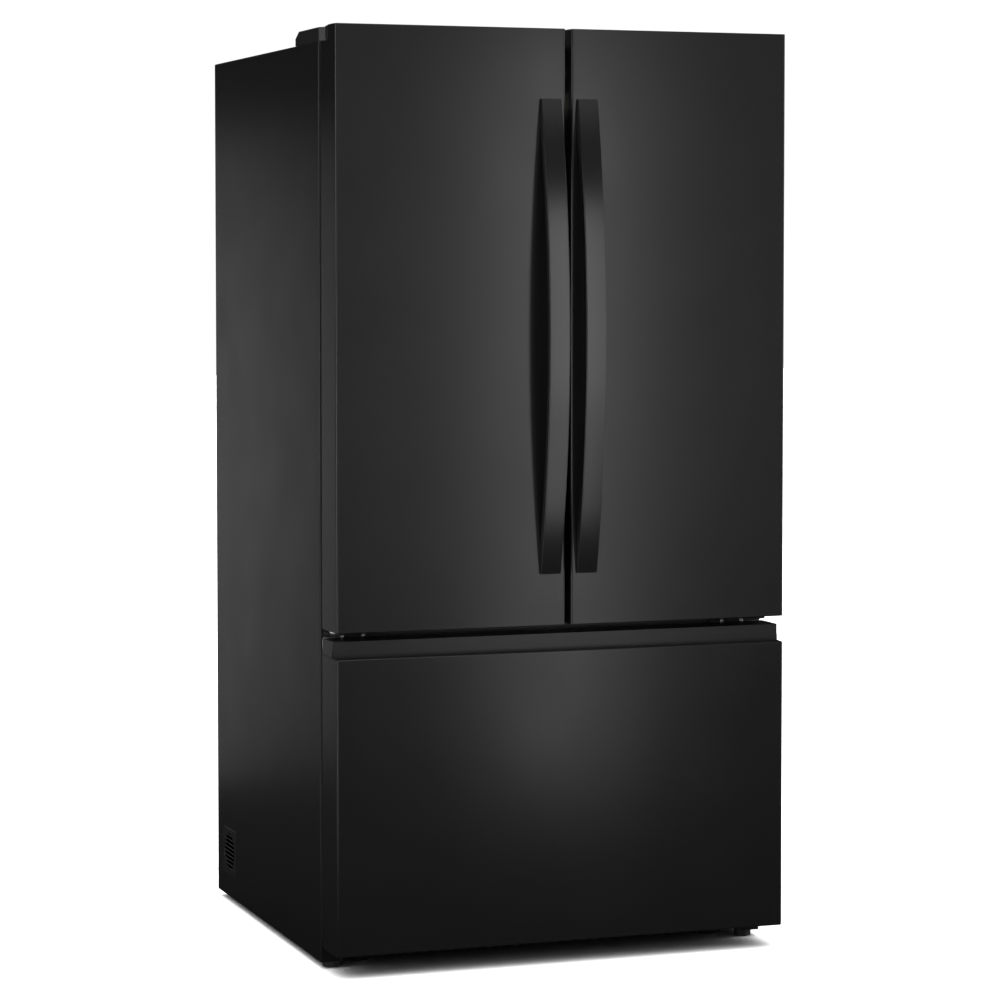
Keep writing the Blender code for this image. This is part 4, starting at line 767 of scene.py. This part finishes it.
liner_low, liner_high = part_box("fresh_food_liner")
space_half, space_floor, space_ceiling = 0.406, 0.698, 1.706
thickness, corner_r = 0.0025, 0.010
tub_low = Vector((-space_half - thickness, liner_low.y, space_floor - thickness))
tub_high = Vector((space_half + thickness, liner_high.y, space_ceiling + thickness))
lining = block("fresh_food_lining", tub_low, tub_high)
edit(lining, "FACE", flat_at(1, tub_low.y), bpy.ops.mesh.delete, type="FACE")
edit(lining, "EDGE", lambda e: abs(e[0].y - e[1].y) > 0.1 or flat_at(1, tub_high.y)(e),
     bpy.ops.mesh.bevel, offset=corner_r, segments=6, affect="EDGES")
edit(lining, "EDGE", flat_at(1, tub_low.y), bpy.ops.mesh.extrude_region_move)
middle = (tub_low + tub_high) / 2
grow = ((liner_high.x - middle.x) / (tub_high.x - middle.x), 1.0,
        (liner_high.z - middle.z) / (tub_high.z - middle.z))
bpy.ops.object.mode_set(mode="EDIT")
bpy.ops.transform.resize(value=grow, center_override=(middle.x, tub_low.y, middle.z))
bpy.ops.object.mode_set(mode="OBJECT")
modify(lining, "SOLIDIFY", thickness=thickness, offset=-1.0, use_even_offset=True)
soften(lining, 0.0)
put(lining, "cabinet", "white_liner", liner_white, "fresh_food_liner")


def rounded_block(name, low, high, width, segments=3):
    made = block(name, low, high)
    soften(made, width, segments)
    return made


ledge_tall, ledge_out, ledge_front, ledge_back = 0.012, 0.009, -0.130, 0.345
lower_shelf_underside, lid_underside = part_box("shelf_lower")[0].z - 0.0003, 0.9050
for side, sign in (("left", -1), ("right", 1)):
    x = sorted((sign * (space_half + 0.001), sign * (space_half - ledge_out)))
    ledges = [rounded_block("ledge", (x[0], ledge_front, top - ledge_tall), (x[1], ledge_back, top), 0.0035)
              for top in (lower_shelf_underside, lid_underside)]
    put(join("liner_ledges_" + side, ledges), "cabinet", "white_liner", liner_white)


# ---- Air tower, controls and lamp ----
# A moulded duct clips to the rear wall and blows cold air out above each shelf. The housing on the
# ceiling holds the lamp behind a frosted window, and a row of plain touch buttons faces the front.
dress("air_tower", "air_duct_cover", "cabinet", "white_liner", liner_white, 0.0022, 3)
tower_low, tower_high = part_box("air_tower")
band_half, band_proud, band_end = 0.022, 0.0016, 0.03
band = rounded_block("air_duct_band", (-band_half, tower_low.y - band_proud, tower_low.z + band_end),
                     (band_half, tower_low.y + 0.001, tower_high.z - band_end), 0.0012, 3)
# Bright anodised aluminium strip, brushed along its length.
brushed = new_finish("brushed_anodised_aluminium", "b9bbbd", 0.30, 1.0)
spot = add_node(brushed, "TexCoord").outputs["Object"]
stretched = add_node(brushed, "Mapping", {"Vector": spot, "Scale": (900.0, 900.0, 12.0)})
lines = add_node(brushed, "TexNoise", {"Vector": stretched.outputs["Vector"], "Scale": 1.0, "Detail": 3.0})
sheen = add_node(brushed, "MapRange", {"Value": lines.outputs["Fac"], "To Min": 0.22, "To Max": 0.40})
wire(brushed, sheen.outputs["Result"], "Roughness")
relief = add_node(brushed, "Bump", {"Height": lines.outputs["Fac"], "Strength": 0.25,
                                    "Distance": 0.00003})
wire(brushed, relief.outputs["Normal"], "Normal")
put(band, "cabinet", "aluminium_fin", brushed)

panel_low, panel_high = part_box("control_panel")
dress("control_panel", "control_housing", "cabinet", "white_liner", liner_white, 0.0045, 4)
# Frosted acrylic, lit from behind, with prisms 3 mm apart on its back.
frosted = new_finish("frosted_lamp_window", "f4f6f7", 0.55,
                     others={"Alpha": 0.75, "IOR": 1.49, "Emission Color": linear("fff6e6"),
                             "Emission Strength": 4.0})
spot = add_node(frosted, "TexCoord").outputs["Object"]
prisms = add_node(frosted, "TexWave", {"Vector": spot, "Scale": 52.0, "Distortion": 0.0},
                  bands_direction="Y")
relief = add_node(frosted, "Bump", {"Height": prisms.outputs["Fac"], "Strength": 0.5, "Distance": 0.0004})
wire(frosted, relief.outputs["Normal"], "Normal")
window_inset, window_setback = 0.0285, 0.0785
window = rounded_block("lamp_window", (panel_low.x + window_inset, panel_low.y + window_setback,
                                       panel_low.z + 0.0008),
                       (panel_high.x - window_inset, panel_high.y - window_inset, panel_low.z + 0.0030),
                       0.0009)
put(window, "cabinet", "clear_plastic", frosted)
button_count, button_step, button_r, button_thick = 5, 0.034, 0.0075, 0.0030
buttons = []
for i in range(button_count):
    x = (i - (button_count - 1) / 2) * button_step
    button = rod("button", 32, button_r, button_thick, (x, panel_low.y + 0.0004, panel_low.z + 0.017),
                 (math.pi / 2, 0, 0))
    soften(button, 0.0008, 3)
    buttons.append(button)
# Soft-touch pads, moulded in a grey a little darker than the housing.
button_grey = grained(new_finish("moulded_grey_buttons", "9da1a4", 0.45), 1100.0, 0.3, 0.00005)
put(join("control_buttons", buttons), "cabinet", "dark_grey_plastic", button_grey)


# ---- Shelves ----
# Tempered glass panes moulded into white rims. The two upper halves hang on coated steel arms,
# hooked into slotted tracks on the rear wall. The lower one and the crisper lid lie on the ledges.

# Tempered glass: clear with a faint green body, and wiped smears. It shows by alpha, so the lamp's
# light reaches what is under it.
glass = new_finish("tempered_glass", "cfe6de", 0.04, others={"Alpha": 0.22, "IOR": 1.52})
spot = add_node(glass, "TexCoord").outputs["Object"]
smear = add_node(glass, "TexNoise", {"Vector": spot, "Scale": 9.0, "Detail": 4.0})
wiping = add_node(glass, "MapRange", {"Value": smear.outputs["Fac"], "From Min": 0.4, "To Min": 0.01,
                                      "To Max": 0.06})
wire(glass, wiping.outputs["Result"], "Roughness")

# White ABS from a fine mould: an even soft shine over a grain of about 1 mm.
rim_white = grained(new_finish("moulded_white_rim", "dfe2e3", 0.35), 900.0, 0.25, 0.00005)

# White powder coat on steel is flatter and coarser than the mouldings.
coated = grained(new_finish("white_powder_coated_steel", "d9dbdb", 0.45), 700.0, 0.4, 0.00008, 3.0)


def glazed(name, low, high, nodes):
    """A rim with rounded edges round a pane that sits in its rebate."""
    rim_wide, rim_front, rebate, pane_thick, pane_sunk = 0.013, 0.0208, 0.004, 0.004, 0.0018
    rim = block(name + "_rim", low, high)
    combine(rim, block("opening", (low[0] + rim_wide, low[1] + rim_front, low[2] - 0.01),
                       (high[0] - rim_wide, high[1] - rim_wide, high[2] + 0.01)))
    soften(rim, 0.0028, 3)
    put(rim, "cabinet", "white_liner", rim_white, *nodes)
    level, lap = high[2] - pane_sunk, rim_wide - rebate
    pane = rounded_block(name + "_pane", (low[0] + lap, low[1] + rim_front - rebate, level - pane_thick),
                         (high[0] - lap, high[1] - lap, level), 0.0006, 2)
    put(pane, "cabinet", "shelf_glass", glass)


def pierce(obj, name, places, size, rounded=0.0):
    """Cuts a row of equal slots: one cutter is modelled and copied to every place."""
    first = block(name, [-s / 2 for s in size], [s / 2 for s in size])
    if rounded:
        longest = max(range(3), key=lambda axis: size[axis])
        edit(first, "EDGE", lambda e: abs(e[0][longest] - e[1][longest]) > size[longest] / 2,
             bpy.ops.mesh.bevel, offset=rounded, segments=4, affect="EDGES")
    combine(obj, repeat(name, first, places))


shelf_thick, shelf_back, arm_places = 0.014, 0.3475, (0.137, 0.388)
arm_half, arm_back, arm_from, arm_taper = 0.0015, 0.4095, 0.12, 0.022
track_half, track_front, track_back, track_low, track_high = 0.007, 0.4098, 0.4124, 0.960, 1.660
slot_count, slot_step, slot_size = 26, 0.0254, (0.0042, 0.01, 0.013)
for side, sign in (("left", -1), ("right", 1)):
    low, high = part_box("shelf_upper_" + side)
    glazed("upper_shelf_" + side, (low.x, low.y, high.z - shelf_thick), (high.x, shelf_back, high.z),
           ("shelf_upper_" + side,))
    arms, tracks = [], []
    for x in (sign * place for place in arm_places):
        arm = block("arm", (x - arm_half, low.y + arm_from, low.z + 0.0005),
                    (x + arm_half, arm_back, high.z - shelf_thick - 0.0002))
        edit(arm, "EDGE", lambda e: all(p.y < low.y + arm_from + 0.001 and p.z < low.z + 0.001 for p in e),
             bpy.ops.transform.translate, value=(0, 0, arm_taper))
        soften(arm, 0.0006, 2)
        arms.append(arm)
        track = block("track", (x - track_half, track_front, track_low),
                      (x + track_half, track_back, track_high))
        pierce(track, "slot", [(x, 0.411, track_low + 0.025 + i * slot_step) for i in range(slot_count)],
               slot_size, 0.0015)
        soften(track, 0.0005, 2)
        tracks.append(track)
    put(join("shelf_arms_" + side, arms), "cabinet", "zinc_steel", coated)
    put(join("shelf_tracks_" + side, tracks), "cabinet", "zinc_steel", coated)
low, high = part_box("shelf_lower")
glazed("lower_shelf", low, high, ("shelf_lower",))
low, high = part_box("crisper_cover")
glazed("crisper_lid", (low.x, low.y, high.z - 0.0137), high, ("crisper_cover",))
divider = rounded_block("crisper_divider", (-0.003, low.y + 0.025, low.z), (0.003, 0.3375, high.z - 0.013),
                        0.0012, 3)
put(divider, "cabinet", "white_liner", rim_white)


# ---- Crispers and door bins ----
# Clear polystyrene tubs with rounded corners. Crispers slide on moulded runners and have a full-width
# lip to pull. Each bin hooks on the door's walls and has a white trim along its rim.

# Clear polystyrene: glossy and faintly blue, hazed where the melt flowed. It shows by alpha.
clear = new_finish("clear_polystyrene", "dbe8ec", 0.07, others={"Alpha": 0.26, "IOR": 1.59})
spot = add_node(clear, "TexCoord").outputs["Object"]
flow = add_node(clear, "TexNoise", {"Vector": spot, "Scale": 6.0, "Detail": 3.0, "Distortion": 1.5})
haze = add_node(clear, "MapRange", {"Value": flow.outputs["Fac"], "To Min": 0.03, "To Max": 0.12})
wire(clear, haze.outputs["Result"], "Roughness")


def open_tub(name, low, high, wall, upright_r, bottom_r, material, body, slot, nodes):
    """Tub with round corners and an even wall, open at the top."""
    made = block(name, low, high)
    edit(made, "EDGE", lambda e: abs(e[0].z - e[1].z) > 0.01, bpy.ops.mesh.bevel,
         offset=upright_r, segments=6, affect="EDGES")
    edit(made, "EDGE", flat_at(2, low[2]), bpy.ops.mesh.bevel, offset=bottom_r, segments=5, affect="EDGES")
    edit(made, "FACE", flat_at(2, high[2]), bpy.ops.mesh.delete, type="FACE")
    modify(made, "SOLIDIFY", thickness=wall, offset=-1.0, use_even_offset=True)
    soften(made, wall * 0.3, 2, angle=60)
    return put(made, body, slot, material, *nodes)


for side, sign in (("left", -1), ("right", 1)):
    body = "crisper_" + side[0]
    low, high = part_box("crisper_" + side)
    open_tub("crisper_tub_" + side, (low.x, low.y + 0.012, low.z + 0.0037), high, 0.0028, 0.012, 0.009,
             clear, body, "clear_plastic", ("crisper_" + side,))
    pull = block("crisper_pull_" + side, (low.x + 0.004, low.y, high.z - 0.030),
                 (high.x - 0.004, low.y + 0.0135, high.z - 0.0005))
    combine(pull, block("finger_groove", (low.x + 0.02, low.y + 0.0035, high.z - 0.05),
                        (high.x - 0.02, low.y + 0.0105, high.z - 0.006)))
    soften(pull, 0.0016, 3)
    put(pull, body, "white_liner", rim_white)
    runners = [rounded_block("runner", (x, low.y + 0.035, low.z), (x + 0.008, high.y - 0.02, low.z + 0.0045),
                             0.001, 2)
               for x in (low.x + 0.02, high.x - 0.028)]
    put(join("crisper_runners_" + side, runners), body, "clear_plastic", clear)
    for level in ("lower", "middle", "upper"):
        node = f"{side}_door_bin_{level}"
        low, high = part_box(node)
        open_tub(f"{side}_bin_tub_{level}", low, high, 0.0024, 0.014, 0.008, clear, side + "_door",
                 "clear_plastic", (node,))
        trim = rounded_block(f"{side}_bin_trim_{level}", (low.x + 0.010, high.y - 0.0034, high.z - 0.014),
                             (high.x - 0.010, high.y + 0.0012, high.z + 0.0015), 0.0015, 3)
        put(trim, side + "_door", "white_liner", rim_white)


# ---- Door liners, gaskets and mullion ----
# White polystyrene inner panels with two upright walls that hold the bins. A grey magnetic vinyl
# gasket runs round each, and a hinged mullion on the left door closes the gap between them.

# Extruded soft vinyl: dull grey, with a fine grain of about 1 mm.
gasket_vinyl = grained(new_finish("grey_magnetic_vinyl_gasket", "4c4e51", 0.55), 800.0, 0.35, 0.00006)


def bellows(node, name, body):
    """A hollow magnet lip on two folds: a groove along its outer and inner side pinches the ring."""
    made = copy_node(node, name)
    low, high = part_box(node)
    groove_half, groove_deep = 0.0011, 0.0016
    for depth in (0.35, 0.62):
        y = low.y + (high.y - low.y) * depth
        outer = block("outer", (low.x - 0.01, y - groove_half, low.z - 0.01),
                      (high.x + 0.01, y + groove_half, high.z + 0.01))
        core = block("core", (low.x + groove_deep, y - 0.01, low.z + groove_deep),
                     (high.x - groove_deep, y + 0.01, high.z - groove_deep))
        combine(outer, core)
        combine(made, outer)
    soften(made, 0.0007, 2)
    return put(made, body, "grey_gasket", gasket_vinyl, node)


for side in ("left", "right"):
    dress(side + "_door_liner", side + "_door_inner_panel", side + "_door", "white_liner", liner_white,
          0.0022, 3)
    bellows(side + "_door_gasket", side + "_door_seal", side + "_door")
bellows("drawer_gasket", "drawer_seal", "freezer_drawer")
dress("flipper_mullion", "hinged_mullion", "mullion", "dark_grey_plastic", abs_black, 0.0025, 4)


# ---- Freezer space ----
# A second drawn liner with a step over the machine space. Steel rails on its walls carry the drawer's
# frame, with a deep basket on the frame and a shallow one sliding above it.
dress("freezer_liner", "freezer_lining", "cabinet", "white_liner", liner_white, 0.0011, 2)
dress("evaporator_cover", "freezer_rear_cover", "cabinet", "white_liner", liner_white, 0.0008, 2)
dress("drawer_liner", "drawer_inner_panel", "freezer_drawer", "white_liner", liner_white, 0.0030, 4)
for side in ("left", "right"):
    dress("freezer_rail_" + side, "drawer_slide_" + side, "cabinet", "zinc_steel", zinc, 0.0004)
dress("drawer_frame", "drawer_slide_frame", "freezer_drawer", "zinc_steel", zinc, 0.0005)

# Polypropylene moulding: waxy white, a little duller than the liner.
basket_white = grained(new_finish("moulded_white_polypropylene", "dde0e1", 0.42), 700.0, 0.35, 0.00008)

slot_step, slot_wide, slot_round, slot_bar = 0.0245, 0.010, 0.004, 0.014
basket_foot, basket_rim = 0.022, 0.030
for node, name, body, half in (("drawer_basket", "deep_freezer_basket", "freezer_drawer", 0.3662),
                               ("freezer_upper_basket", "shallow_freezer_basket", "upper_basket", 0.380)):
    low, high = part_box(node)
    made = copy_node(node, name)
    rows = 3 if high.z - low.z > 0.2 else 1
    step = (high.z - low.z - basket_foot - basket_rim) / rows
    levels = [low.z + basket_foot + (i + 0.5) * step for i in range(rows)]
    middle_y, deep = (low.y + high.y) / 2, high.y - low.y
    across, along = int((2 * half - 0.06) / slot_step), int((deep - 0.05) / slot_step)
    pierce(made, "front_slots", [((i - (across - 1) / 2) * slot_step, middle_y, z)
                                 for i in range(across) for z in levels],
           (slot_wide, deep + 0.05, step - slot_bar), slot_round)
    pierce(made, "side_slots", [(0.0, middle_y + (i - (along - 1) / 2) * slot_step, z)
                                for i in range(along) for z in levels],
           (2 * half + 0.02, slot_wide, step - slot_bar), slot_round)
    soften(made, 0.0007, 2)
    put(made, body, "white_liner", basket_white, node)


# ---- Cold side behind the freezer's rear cover ----
# An aluminium plate-fin evaporator stands under a small fan, both hidden by the cover.

# Rolled aluminium as it leaves the mill: silver grey, cloudy at about 3 mm.
fins = new_finish("mill_finish_aluminium_fins", "c4c6c8", 0.35, 1.0)
spot = add_node(fins, "TexCoord").outputs["Object"]
rolled = add_node(fins, "TexNoise", {"Vector": spot, "Scale": 300.0, "Detail": 3.0})
frosting = add_node(fins, "MapRange", {"Value": rolled.outputs["Fac"], "To Min": 0.28, "To Max": 0.5})
wire(fins, frosting.outputs["Result"], "Roughness")
dress("evaporator", "evaporator_fins", "cabinet", "aluminium_fin", fins, 0.0005, 1)
dress("evaporator_fan_blade", "evaporator_fan", "evaporator_fan", "dark_grey_plastic", nylon, 0.0004, 1)


# ---- Machine space ----
# The compressor is a drawn and welded steel pot in black paint, beside a bent condenser tube and the
# fan that cools them, all on the base plate.

# Paint baked on over drawn steel: black and half glossy, with runs about 8 mm wide.
pot_paint = grained(new_finish("black_baked_paint_on_pot", "131314", 0.35), 120.0, 0.3, 0.0002, 3.0)
dress("compressor", "compressor_pot", "cabinet", "black_steel", pot_paint, 0.0012, 2, 50)
dress("condenser_coil", "condenser_tube", "cabinet", "black_steel", black_coat)
dress("condenser_fan_shroud", "fan_frame", "cabinet", "dark_grey_plastic", nylon, 0.0006, 1)
dress("condenser_fan_blade", "condenser_fan", "condenser_fan", "dark_grey_plastic", nylon, 0.0004, 1)


low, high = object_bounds()
